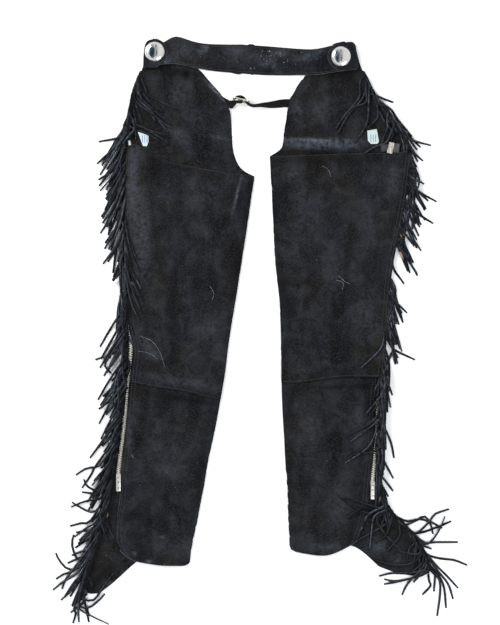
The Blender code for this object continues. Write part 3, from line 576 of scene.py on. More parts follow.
def along_line(line, at):
    """Point and direction at a distance along a line of points."""
    for start, end in zip(line, line[1:]):
        run = end - start
        if at <= run.length or end is line[-1]:
            return start + run.normalized() * at, run.normalized()
        at -= run.length


def rod(bm, radius, depth, axis="Z", segments=12, end=None):
    """A round rod in a bmesh, along an axis, with a second radius at its end. Gives its points."""
    made = bmesh.ops.create_cone(bm, cap_ends=True, segments=segments, radius1=radius,
                                 radius2=end or radius, depth=depth)["verts"]
    if axis != "Z":
        turn = Matrix.Rotation(math.pi / 2, 3, "Y" if axis == "X" else "X")
        bmesh.ops.rotate(bm, matrix=turn, verts=made)
    return made


def rounded(bm, edges, radius, segments):
    bmesh.ops.bevel(bm, geom=edges, offset=radius, segments=segments, profile=0.5, affect="EDGES",
                    material=-1)


def copied_in(bm, mesh):
    """Adds a mesh to a bmesh and gives the new points."""
    before = len(bm.verts)
    bm.from_mesh(mesh)
    bm.verts.ensure_lookup_table()
    return bm.verts[before:]


def everything(bm):
    return bm.verts[:] + bm.edges[:] + bm.faces[:]


def carved(name, bm, cutters, material):
    """A piece with other bodies cut out of it."""
    blank = add_object(name + "_blank", mesh_of(name + "_blank", bm), material)
    tools = [add_object(name + "_tool", mesh_of(name + "_tool", tool)) for tool in cutters]
    for tool in tools:
        step = blank.modifiers.new("Cut", "BOOLEAN")
        step.operation = "DIFFERENCE"
        step.solver = "EXACT"
        step.object = tool
    return finished_mesh(blank, *tools)


def finish_hard(name, bm, material, node, body="garment"):
    """A hard metal piece: shaded smooth but for its sharp edges."""
    mesh = mesh_of(name, bm)
    mesh.set_sharp_from_angle(angle=SHARP_FROM)
    return belongs(add_object(name, mesh, material), node, body)


def finish_node(node, material):
    """A better material on a CAD piece that is kept as it is."""
    for slot in frame["nodes"][node].material_slots:
        slot.material = material


teeth_metal = metal("zip_teeth", (0.95, 0.92, 0.82), 0.42, cloudy=0.1)
slider_metal = metal("zip_slider", (0.66, 0.64, 0.60), 0.38, cloudy=0.15)
tape_cloth = woven_tape("black_tape", (0.010, 0.010, 0.011), (0.030, 0.030, 0.033))
hinges = {j["name"]: Vector(j["pos_m"]) for j in frame["record"]["behaviour"]["joints"]}

tooth = bmesh.new()
block(tooth, TOOTH, edge=TOOTH_EDGE)
tooth_mesh = mesh_of("tooth", tooth)
for name in SIDES:
    line = chain_line(name)
    length = sum((b - a).length for a, b in zip(line, line[1:])) - SLIDER_LENGTH / 2
    teeth = bmesh.new()
    for n in range(int(length / TOOTH_PITCH * 2)):
        middle, run = along_line(line, (n + 0.5) * TOOTH_PITCH / 2)
        row = TOOTH_ROW if n % 2 else -TOOTH_ROW
        turn = Matrix.Rotation(math.atan2(run.y, run.x) + math.pi / 2, 4, "Z")
        place = Matrix.Translation(middle) @ turn @ Matrix.Translation((row, 0, 0))
        bmesh.ops.transform(teeth, matrix=place, verts=copied_in(teeth, tooth_mesh))
    finish_hard(f"zip_teeth_{name}", teeth, teeth_metal, f"zip_chain_{name}")

    finish_node(f"zip_tape_{name}", tape_cloth)

    axis = hinges[f"pull_{name}_hinge"]
    slider = bmesh.new()
    for z in (SLIDER_TOP - SLIDER_WALL / 2, SLIDER_BOTTOM + SLIDER_WALL / 2):
        plate = block(slider, (SLIDER_WIDTH, SLIDER_LENGTH, SLIDER_WALL), (0, 0, z), PLATE_EDGE)
        for vert in plate:
            if abs(vert.co.y) > SLIDER_LENGTH * 0.4:
                vert.co.x *= SLIDER_TAPER[0] if vert.co.y > 0 else SLIDER_TAPER[1]
    for x in (-1, 1):
        middle = (x * (SLIDER_WIDTH - GUIDE_INSET) / 2, 0, (SLIDER_TOP + SLIDER_BOTTOM) / 2)
        size = (GUIDE_WALL, SLIDER_LENGTH * GUIDE_SHARE, SLIDER_TOP - SLIDER_BOTTOM)
        block(slider, size, middle, 0.2 * MM)
    arch = bmesh.new()
    bmesh.ops.create_grid(arch, x_segments=1, y_segments=1, size=0.5)
    bmesh.ops.scale(arch, vec=(BAIL_WIDTH, BAIL_WIRE, 1), verts=arch.verts)
    bmesh.ops.translate(arch, vec=(0, BAIL_RADIUS, 0), verts=arch.verts)
    bmesh.ops.spin(arch, geom=everything(arch), angle=math.pi, steps=14, axis=(1, 0, 0), cent=(0, 0, 0))
    bmesh.ops.scale(arch, vec=(1, 1, BAIL_FLATNESS), verts=arch.verts)
    bmesh.ops.translate(arch, vec=(0, 0, SLIDER_TOP - 0.1 * MM), verts=arch.verts)
    bmesh.ops.recalc_face_normals(arch, faces=arch.faces)
    slider.from_mesh(mesh_of("bail", arch))
    bmesh.ops.translate(slider, vec=axis, verts=slider.verts)
    finish_hard(f"slider_{name}", slider, slider_metal, f"zip_slider_{name}")

    pull = bmesh.new()
    block(pull, (PULL_WIDTH, PULL_LENGTH, PULL_THICKNESS), (0, -PULL_LENGTH / 2, 0))
    corners = [e for e in pull.edges if abs(e.verts[0].co.z - e.verts[1].co.z) > PULL_THICKNESS / 2]
    rounded(pull, corners, PULL_CORNER, 5)
    rims = [e for e in pull.edges if e.calc_face_angle() > math.radians(80)]
    rounded(pull, rims, PULL_RIM, 2)
    window = bmesh.new()
    block(window, PULL_WINDOW, (0, -WINDOW_DROP, 0))
    cutters = [window]
    for down, radius in PULL_HOLES:
        hole = bmesh.new()
        bmesh.ops.translate(hole, vec=(0, -down, 0), verts=rod(hole, radius, 4 * MM, segments=20))
        cutters.append(hole)
    pull = bm_of(carved(f"pull_{name}", pull, cutters, slider_metal))
    rod(pull, PIN_RADIUS, PULL_WIDTH - PIN_INSET, "X", 16)
    hang = Matrix.Translation(axis) @ Matrix.Rotation(PULL_DROOP, 4, "X")
    bmesh.ops.transform(pull, matrix=hang, verts=pull.verts)
    finish_hard(f"pull_{name}", pull, slider_metal, f"zip_pull_{name}", f"pull_{name}")

# Back panels. The back of each leg is a thigh and a calf of the same suede, joined by a knee seam
# in which the thigh laps over the calf. They lie slack on the fronts, rolled over at the inseam.
# The left thigh's outer strip stands up in a roll and hides the zip there.

THIGH_CREASES = {
    "left": [
        Crease(-219, 350, -198, 262, 3.5, -1.5),
        Crease(-208, 322, -204, 292, 3.0, 0.9),
        Crease(-36, 300, -52, 214, 3.0, 1.0),
        Crease(-27, 292, -40, 226, 4.5, -1.1),
        Crease(-150, 312, -120, 230, 20, 0.9),
        Crease(-100, 250, -110, 120, 16, -0.9),
        Crease(-210, 210, -190, 60, 18, 0.9),
        Crease(-140, 140, -150, 0, 14, -0.9),
        Crease(-70, 150, -90, 20, 15, 0.9),
        Crease(-232, 60, -205, -40, 9, 0.9),
        Crease(-228, -20, -190, -75, 7, -0.7),
        Crease(-218, -38, -180, -52, 4, 0.6),
        Crease(-110, -30, -84, -110, 12, 0.8),
        Crease(-66, 40, -82, -60, 7, -0.7),
    ],
    "right": [
        Crease(110, 300, 150, 190, 24, 0.9),
        Crease(180, 320, 210, 220, 16, 0.9),
        Crease(72, 320, 60, 180, 12, -0.8),
        Crease(250, 300, 232, 190, 9, 0.9),
        Crease(150, 190, 140, 40, 20, -0.9),
        Crease(200, 160, 196, 20, 14, 0.9),
        Crease(90, 120, 100, -20, 18, 0.8),
        Crease(222, 90, 214, -30, 9, -0.8),
        Crease(46, 240, 52, 90, 5, -0.6),
        Crease(120, 10, 140, -80, 16, 0.8),
        Crease(180, -30, 210, -78, 9, 0.7),
    ],
}
# Paler places: worn nap, and painted highlights along the rolls at the left thigh's outer edge and inseam
THIGH_WEAR_AND_HIGHLIGHTS = {
    "left": [
        SoftOval(-237, 280, 9, 70, -1, 0.30),
        SoftOval(-222, 170, 14, 80, 0, 0.24),
        SoftOval(-43, 262, 2.2, 34, -14, 0.6),
        SoftOval(-120, 260, 40, 30, 30, 0.08),
        SoftOval(-212, -30, 10, 26, 40, 0.18),
        SoftOval(-150, -96, 84, 9, -9, 0.16),
        SoftOval(-95, 10, 22, 44, 0, 0.10),
    ],
    "right": [
        SoftOval(250, 285, 10, 30, -8, 0.20),
        SoftOval(84, 230, 28, 50, 0, 0.10),
        SoftOval(206, 200, 20, 60, 10, 0.12),
        SoftOval(60, 300, 16, 14, 0, 0.16),
        SoftOval(140, 120, 30, 50, 0, 0.10),
        SoftOval(200, 30, 18, 50, 0, 0.14),
    ],
}
THIGH_SHADES = {
    "left": [
        SoftOval(-20, 262, 9, 36, -8, 0.65),
        SoftOval(-198, 300, 14, 26, 10, 0.30),
        SoftOval(-150, 306, 60, 8, -12, 0.30),
        SoftOval(-44, 120, 9, 80, -9, 0.40),
    ],
    "right": [
        SoftOval(130, 326, 90, 10, 0, 0.45),
        SoftOval(26, 240, 7, 90, 2, 0.35),
        SoftOval(52, 30, 14, 60, 4, 0.25),
        SoftOval(150, -84, 80, 9, 3, 0.30),
        SoftOval(226, 130, 10, 70, 5, 0.30),
    ],
}
CALF_CREASES = {
    "left": [
        Crease(-232, -120, -242, -240, 10, 0.7),
        Crease(-150, -140, -164, -270, 18, -0.9),
        Crease(-110, -170, -130, -300, 14, 0.8),
        Crease(-200, -260, -190, -380, 16, 0.8),
        Crease(-224, -330, -180, -400, 12, -0.7),
        Crease(-150, -340, -140, -430, 14, 0.6),
        Crease(-212, -118, -170, -132, 7, 0.6),
    ],
    "right": [
        Crease(90, -110, 84, -250, 16, 0.8),
        Crease(150, -130, 140, -280, 18, -0.9),
        Crease(196, -140, 190, -250, 9, 0.7),
        Crease(110, -270, 120, -390, 18, 0.8),
        Crease(170, -290, 150, -380, 12, -0.7),
        Crease(70, -300, 74, -400, 10, -0.6),
        Crease(180, -108, 120, -122, 7, 0.6),
    ],
}
CALF_SCUFFS = {
    "left": [
        SoftOval(-238, -422, 4, 3, 0, 0.7),
        SoftOval(-211, -437, 6, 2.5, 10, 0.6),
        SoftOval(-186, -391, 3, 2, 0, 0.5),
        SoftOval(-270, -386, 2, 4, 0, 0.4),
        SoftOval(-250, -180, 8, 60, 4, 0.18),
        SoftOval(-180, -240, 40, 50, 0, 0.08),
        SoftOval(-130, -410, 30, 20, 0, 0.12),
    ],
    "right": [
        SoftOval(96, -200, 22, 60, 0, 0.12),
        SoftOval(150, -320, 26, 40, 20, 0.12),
        SoftOval(120, -410, 36, 8, 0, 0.18),
        SoftOval(186, -180, 10, 50, 0, 0.12),
    ],
}
CALF_SHADES = {
    "left": [
        SoftOval(-238, -350, 24, 16, 12, 0.45),
        SoftOval(-236, -384, 14, 14, 0, 0.25),
        SoftOval(-150, -128, 90, 6, -9, 0.65),
        SoftOval(-112, -260, 8, 90, -9, 0.45),
    ],
    "right": [
        SoftOval(150, -106, 100, 5, 2, 0.65),
        SoftOval(60, -260, 8, 100, -1, 0.30),
        SoftOval(190, -300, 14, 50, 0, 0.25),
    ],
}
ROLL_OUT = {"left": 6.5 * MM, "right": 9 * MM}
ROLL_RISE = 3.0 * MM
ROLL_WIDTH = 34 * MM
# Height at which each thigh starts to cover its zip, and the run over which it comes out
ROLL_FOOT = {"left": -42 * MM, "right": -125 * MM}
ROLL_FADE = {"left": 52 * MM, "right": 36 * MM}


def smooth_step(t):
    """From 0 to 1 with soft ends."""
    t = np.clip(t, 0.0, 1.0)
    return t * t * (3 - 2 * t)


backs = {}
for name, side in SIDES.items():
    surface = subdivided(f"thigh_{name}", upper_face(f"back_thigh_{name}"), 3)
    ys, xs = edge_line(surface, side, 6 * MM)

    def roll_over_zip(vert, ys=ys, xs=xs, side=side, out=ROLL_OUT[name],
                      foot=ROLL_FOOT[name], fade=ROLL_FADE[name]):
        """Lift the thigh's outer strip and bring it out over the zip's teeth."""
        inward = (np.interp(vert.co.y, ys, xs) - vert.co.x) * side
        near = 1 - smooth_step(inward / ROLL_WIDTH)
        vert.co.x += side * out * smooth_step((vert.co.y - foot) / fade) * near
        lift = smooth_step((vert.co.y - foot + fade * 0.6) / fade)
        vert.co.z += ROLL_RISE * lift * math.exp(-(inward / ROLL_WIDTH * 1.6) ** 2)

    material = suede(f"suede_thigh_{name}", (0.7 * side, 0.4, 0), dust=0.20, brown=0.5)
    # The thigh's lower edge is painted dark: a painted shadow line along the knee seam, where it laps
    # over the calf
    thigh = cloth(f"thigh_{name}", surface, side, material, f"back_thigh_{name}",
                  THIGH_CREASES[name], THIGH_WEAR_AND_HIGHLIGHTS[name], THIGH_SHADES[name],
                  Edges(0.4, 0.0, -1.0, 0.45), sway=0.5 * MM, shape=roll_over_zip)

    surface = subdivided(f"calf_{name}", upper_face(f"back_calf_{name}"), 3)
    material = suede(f"suede_calf_{name}", (0.2 * side, 1.1, 0.2), dust=0.30, brown=0.42)
    calf = cloth(f"calf_{name}", surface, side, material, f"back_calf_{name}", CALF_CREASES[name],
                 CALF_SCUFFS[name], CALF_SHADES[name], Edges(1.5, 0.0, 1.6, 0.0))
    backs[name] = (thigh, calf)

# Belt. A wide band of doubled suede that crosses the back of the waist, from hip to hip. It is the
# dustiest piece, with a rubbed ring left of its middle and pale specks.

BELT_THICKNESS = 2.8 * MM
BELT_CREASES = [
    Crease(-190, 512, -186, 548, 10, 0.5),
    Crease(-140, 506, -150, 546, 12, -0.5),
    Crease(-60, 496, -66, 540, 14, 0.4),
    Crease(20, 492, 12, 536, 14, -0.4),
    Crease(110, 490, 104, 530, 12, 0.5),
]
BELT_SCUFFS = [
    SoftOval(-108, 536, 8, 7, 0, 0.35),
    SoftOval(-113, 530, 2.4, 3, 30, 0.8),
    SoftOval(-100, 540, 2, 8, -14, 0.45),
    SoftOval(-178, 515, 14, 8, 20, 0.45),
    SoftOval(-150, 530, 28, 13, 0, 0.18),
    SoftOval(-50, 532, 16, 9, 0, 0.24),
    SoftOval(-10, 520, 26, 10, 0, 0.16),
    SoftOval(14, 508, 10, 6, 0, 0.45),
    SoftOval(40, 528, 12, 7, 0, 0.35),
    SoftOval(90, 520, 22, 8, 10, 0.25),
    SoftOval(112, 532, 9, 6, 20, 0.40),
]
BELT_SHADES = [
    SoftOval(-172, 530, 6, 20, 10, 0.5),
    SoftOval(120, 516, 6, 22, 0, 0.45),
]
belt_suede = suede("suede_belt", (0.5, 0.9, 0.1), dust=1.0, brown=0.35, nap=0.95)
surface = subdivided("belt_face", upper_face("belt"), 3)
belt = cloth("belt_band", surface, 1, belt_suede, "belt", BELT_CREASES, BELT_SCUFFS, BELT_SHADES,
             Edges(0.3, 0.3, 0.75, 0.35), thickness=BELT_THICKNESS)

# Hip tabs and conchos. A rounded suede tab covers each end of the belt, and a domed silver button
# with a threaded post holds tab and belt together. A screw closes the post from behind.

CONCHO_RADIUS = 19 * MM
CONCHO_HEIGHT = 5.5 * MM
CONCHO_RIM = 1.3 * MM
CONCHO_BEAD = 0.9 * MM
SHEET_METAL = 1.0 * MM
POST_RADIUS = 3.0 * MM
POST_LENGTH = 3.6 * MM

silver = metal("silver_button", (0.84, 0.85, 0.84), 0.07, scratch=0.2, cloudy=0.1)
tab_suede = suede("suede_tab", (0.1, 0.3, 0.6), dust=0.3, brown=0.3)
tab_pieces = {}
for name, side in SIDES.items():
    tab = subdivided(f"tab_face_{name}", upper_face(f"hip_tab_{name}"), 3)
    tab_pieces[name] = cloth(f"tab_{name}", tab, side, tab_suede, f"hip_tab_{name}",
                             edges=Edges(0.25, 0.7, 0.35, 0.3))

    low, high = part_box(f"concho_{name}")
    button = bmesh.new()
    dome = []
    for k in range(13):
        angle = math.pi / 2 * (1 - k / 12)
        rise = (CONCHO_HEIGHT - CONCHO_BEAD) * math.sin(angle)
        dome.append(Vector(((CONCHO_RADIUS - CONCHO_RIM) * math.cos(angle), 0, CONCHO_BEAD + rise)))
    lip = [
        Vector((CONCHO_RADIUS - 0.5 * MM, 0, CONCHO_BEAD + 0.15 * MM)),
        Vector((CONCHO_RADIUS, 0, CONCHO_BEAD / 2)),
        Vector((CONCHO_RADIUS - 0.3 * MM, 0, 0)),
        Vector((CONCHO_RADIUS - CONCHO_RIM - SHEET_METAL, 0, 0)),
        Vector((CONCHO_RADIUS * 0.62, 0, CONCHO_HEIGHT * 0.55)),
        Vector((POST_RADIUS, 0, CONCHO_HEIGHT - SHEET_METAL)),
        Vector((POST_RADIUS, 0, -POST_LENGTH)),
        Vector((0, 0, -POST_LENGTH)),
    ]
    profile = [button.verts.new(point) for point in dome + lip]
    for a, b in zip(profile, profile[1:]):
        button.edges.new((a, b))
    bmesh.ops.spin(button, geom=button.verts[:] + button.edges[:], angle=math.tau, steps=72,
                   axis=(0, 0, 1), cent=(0, 0, 0), use_merge=True)
    bmesh.ops.remove_doubles(button, verts=button.verts, dist=SAME_PLACE)
    bmesh.ops.recalc_face_normals(button, faces=button.faces)
    middle = (low + high) / 2
    top = high.z - CONCHO_HEIGHT
    bmesh.ops.translate(button, vec=(middle.x, middle.y, top), verts=button.verts)
    finish_hard(f"button_{name}", button, silver, f"concho_{name}")
    finish_node(f"concho_screw_{name}", slider_metal)

# Front strap and buckle. A narrow suede strap links the fronts' inner edges under the back belt.
# Its left half loops round the centre bar of a small wire buckle, its right half passes through,
# and buckle and strap have turned on edge. The buckle is silver-coloured wire.

BUCKLE_HEADING = math.radians(-13.5)
BUCKLE_LEAN = math.radians(80)
BUCKLE_HALF_LENGTH = 15 * MM
BUCKLE_HALF_WIDTH = 9.7 * MM
BUCKLE_CORNER = 4 * MM
BUCKLE_WIRE = 1.4 * MM
PRONG_LIFT = 2.6 * MM
PRONG_WIRE = 0.9 * MM
PRONG_TAPER = 0.7
# How far the prong reaches back over the bar
PRONG_BACK = 0.5 * MM
STRAP_CUTS = {"left": Cut(0.0155, 0.097, 0.0015), "right": Cut(0.0155, 0.145, 0.00224)}


def strap_piece(name, node, material):
    """A strap from its CAD solid, smooth along its length with its four long edges kept."""
    bm = quads(merged(node))
    sharp = bm.edges.layers.float.new("crease_edge")
    for edge in bm.edges:
        if edge.calc_face_angle(0) > math.radians(50):
            edge[sharp] = 0.8
    mesh = mesh_of(name, subdivided(name, bm, 2))
    for look, share in (("edge", 0.0), ("wear_and_light", 0.0), ("shade", 0.3)):
        paint(mesh, look, [share] * len(mesh.vertices))
    return belongs(add_object(name, mesh, material), node)


strap_suede = suede("suede_strap", (0.8, 0.2, 0.4), dust=0.1, brown=0.3, nap=0.6)
for name, cut in STRAP_CUTS.items():
    strap_piece(f"strap_{name}", f"front_strap_{name}", strap_suede)


def grown_straight(bm, edges, run):
    """Draws a wire's end out by a run. Gives the new end's edges."""
    grown = bmesh.ops.extrude_edge_only(bm, edges=edges)["geom"]
    bmesh.ops.translate(bm, vec=run, verts=[g for g in grown if isinstance(g, bmesh.types.BMVert)])
    return [g for g in grown if isinstance(g, bmesh.types.BMEdge) and g.is_boundary]


wire = bmesh.new()
ring = bmesh.ops.create_circle(wire, segments=12, radius=BUCKLE_WIRE)["verts"]
bmesh.ops.rotate(wire, matrix=Matrix.Rotation(math.pi / 2, 3, "X"), verts=ring)
bmesh.ops.translate(wire, vec=(BUCKLE_HALF_LENGTH, 0, 0), verts=ring)
last = list(wire.edges)
corners = ((1, 1), (-1, 1), (-1, -1), (1, -1))
straights = (BUCKLE_HALF_WIDTH, BUCKLE_HALF_LENGTH, BUCKLE_HALF_WIDTH, BUCKLE_HALF_LENGTH)
heading = Vector((0, 1, 0))
first_run = BUCKLE_HALF_WIDTH - BUCKLE_CORNER
for (sx, sy), straight in zip(corners, straights):
    run = first_run if (sx, sy) == (1, 1) else 2 * (straight - BUCKLE_CORNER)
    last = grown_straight(wire, last, heading * run)
    centre = (sx * (BUCKLE_HALF_LENGTH - BUCKLE_CORNER), sy * (BUCKLE_HALF_WIDTH - BUCKLE_CORNER), 0)
    turned = bmesh.ops.spin(wire, geom=last, angle=math.pi / 2, steps=6, axis=(0, 0, 1), cent=centre)
    last = [g for g in turned["geom_last"] if isinstance(g, bmesh.types.BMEdge)]
    heading = Matrix.Rotation(math.pi / 2, 3, "Z") @ heading
grown_straight(wire, last, heading * first_run)
bmesh.ops.remove_doubles(wire, verts=wire.verts, dist=SAME_PLACE)
bmesh.ops.recalc_face_normals(wire, faces=wire.faces)
rod(wire, BUCKLE_WIRE * 0.9, 2 * BUCKLE_HALF_WIDTH, "Y")
low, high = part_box("buckle_frame")
stand = (Matrix.Translation((low + high) / 2) @ Matrix.Rotation(BUCKLE_HEADING, 4, "Z")
         @ Matrix.Rotation(BUCKLE_LEAN, 4, "X"))
bmesh.ops.transform(wire, matrix=stand, verts=wire.verts)
buckle_metal = metal("buckle_wire", (0.86, 0.80, 0.68), 0.20, cloudy=0.1)
finish_hard("buckle", wire, buckle_metal, "buckle_frame")

prong = bmesh.new()
reach = BUCKLE_HALF_LENGTH + 2 * MM
pin = rod(prong, PRONG_WIRE, reach, "X", end=PRONG_WIRE * PRONG_TAPER)
bmesh.ops.translate(prong, vec=(reach / 2 - PRONG_BACK, 0, -PRONG_LIFT), verts=pin)
bmesh.ops.transform(prong, matrix=stand, verts=prong.verts)
finish_hard("prong", prong, buckle_metal, "buckle_prong")

# Labels. Two small woven labels are sewn inside the fronts, near the outseams. They are white
# satin and bare but for three plain pale blue bars.

Corner = namedtuple("Corner", "x y")
LABEL_OUTLINES = {
    "left": [Corner(-232, 378), Corner(-220, 378), Corner(-212, 372), Corner(-211.6, 359),
             Corner(-215, 350.5), Corner(-222.5, 351.5)],
    "right": [Corner(203.8, 380.5), Corner(221.7, 383.5), Corner(226, 359.5), Corner(222.6, 355.2),
              Corner(210.5, 355.2), Corner(204.8, 361.5)],
}
ABOVE_ALL = 0.08
LABEL_GAP = 0.3 * MM
LABEL_THICKNESS = 0.5 * MM
LABEL_SPLITS = 12
LABEL_SPLIT_PITCH = 1.1 * MM
# The bars' places across the label, half width and half length, in millimetres
BARS = (-4.4, 0, 4.4)
BAR_HALF = 1.0
BAR_REACH = 7


def face_up(bm):
    """Turns an open surface's faces upwards."""
    bmesh.ops.recalc_face_normals(bm, faces=bm.faces)
    if sum(face.normal.z for face in bm.faces) < 0:
        bmesh.ops.reverse_faces(bm, faces=bm.faces)


def surfaces(objects):
    """What can be lain on, as a tree that finds the height under a place."""
    bm = bmesh.new()
    for obj in objects:
        bm.from_mesh(obj.data)
    tree = BVHTree.FromBMesh(bm)
    bm.free()
    return tree


def top_of(tree, x, y):
    hit = tree.ray_cast(Vector((x, y, ABOVE_ALL)), Vector((0, 0, -1)))[0]
    return hit.z if hit else 0.0


satin, tree, shader, place = new_material("white_satin", 0.55)
thread = ribs(tree, place, 900.0, 1.0)
ground = mixed(tree, thread, (0.36, 0.43, 0.41), (0.50, 0.58, 0.56))
barred = mixed(tree, read(tree, "bar"), ground, (0.03, 0.09, 0.34))
dress(tree, shader, barred, raised(tree, thread, 0.4, 0.0001))
labels = {}
for name, corners in LABEL_OUTLINES.items():
    label = bmesh.new()
    label.faces.new([label.verts.new((c.x * MM, c.y * MM, 0)) for c in corners])
    face_up(label)
    middle = sum((v.co for v in label.verts), Vector()) / len(label.verts)
    for k in range(-LABEL_SPLITS, LABEL_SPLITS):
        for across in (Vector((0, 1, 0)), Vector((1, 0, 0))):
            at = middle + across * k * LABEL_SPLIT_PITCH
            bmesh.ops.bisect_plane(label, geom=everything(label), plane_co=at, plane_no=across)
    bmesh.ops.triangulate(label, faces=[f for f in label.faces if len(f.verts) > 4])
    front_tree = surfaces([fronts[name]])
    stripes = []
    for vert in label.verts:
        off = (vert.co - middle) / MM
        curl = (0.5 + 0.5 * math.sin(off.x * 0.5)) * 0.25 * MM
        vert.co.z = top_of(front_tree, vert.co.x, vert.co.y) + LABEL_THICKNESS + LABEL_GAP + curl
        inside = abs(off.y) < BAR_REACH and any(abs(off.x - x) < BAR_HALF for x in BARS)
        stripes.append(1.0 if inside else 0.0)
    mesh = mesh_of(f"woven_label_{name}", label)
    paint(mesh, "bar", stripes)
    labels[name] = add_object(f"woven_label_{name}", mesh, satin)
    add_wall(labels[name], LABEL_THICKNESS, 1.0)
    belongs(labels[name], f"label_{name}")

# Fringe. Each outseam holds a narrow header of suede, sewn along the front's margin and cut into
# strips up to 132 mm long. They lie as they fell: over the fronts at the hips, outward beside the
# thighs and in curls over the flaps. A turned strip shows its undyed tan side.

PIXEL = 1.9 * MM
MIDDLE_X = 260
MIDDLE_Y = 331
STRIP_PITCH = 4.2 * MM
STRIP_WIDTH = 4.1 * MM
STRIP_THICKNESS = 1.5 * MM
TWIST_ROOM = 0.35 * MM
STRIP_RINGS = 13
STRIP_POINTS = 46
LONGEST = 132 * MM
STEEPEST = 0.55
HIGHEST = 13 * MM
HEADER_WIDTH = 5 * MM
HEADER_THICKNESS = 1.0 * MM
# Roots lie this far inside the front's edge: beside the zip, and where there is none
ROOT_BY_ZIP = 6 * MM
ROOT_AT_EDGE = 1.8 * MM
PULL_ROOM = Vector((8, 40)) * MM
# The header's top and foot in the photograph's pixels. The strips start a pixel below each
HEADER_TOP = 71
HEADER_FOOT = {"left": 583, "right": 573}
# How much paler the strip's edge towards the window is, and how dark the other
LIT_EDGE = 2.0
SHADED_EDGE = 0.7
TAN_SHARE = 0.13
TAN_RUN = 0.12

# A strip's root is a height in the photograph's pixels, and its route is places there
Strip = namedtuple("Strip", "root route")
# How the strips between those lie, from a root height on: the tip's place from the root, its spread,
# and how far the middle bows towards the leg
Lie = namedtuple("Lie", "root across down spread bow")

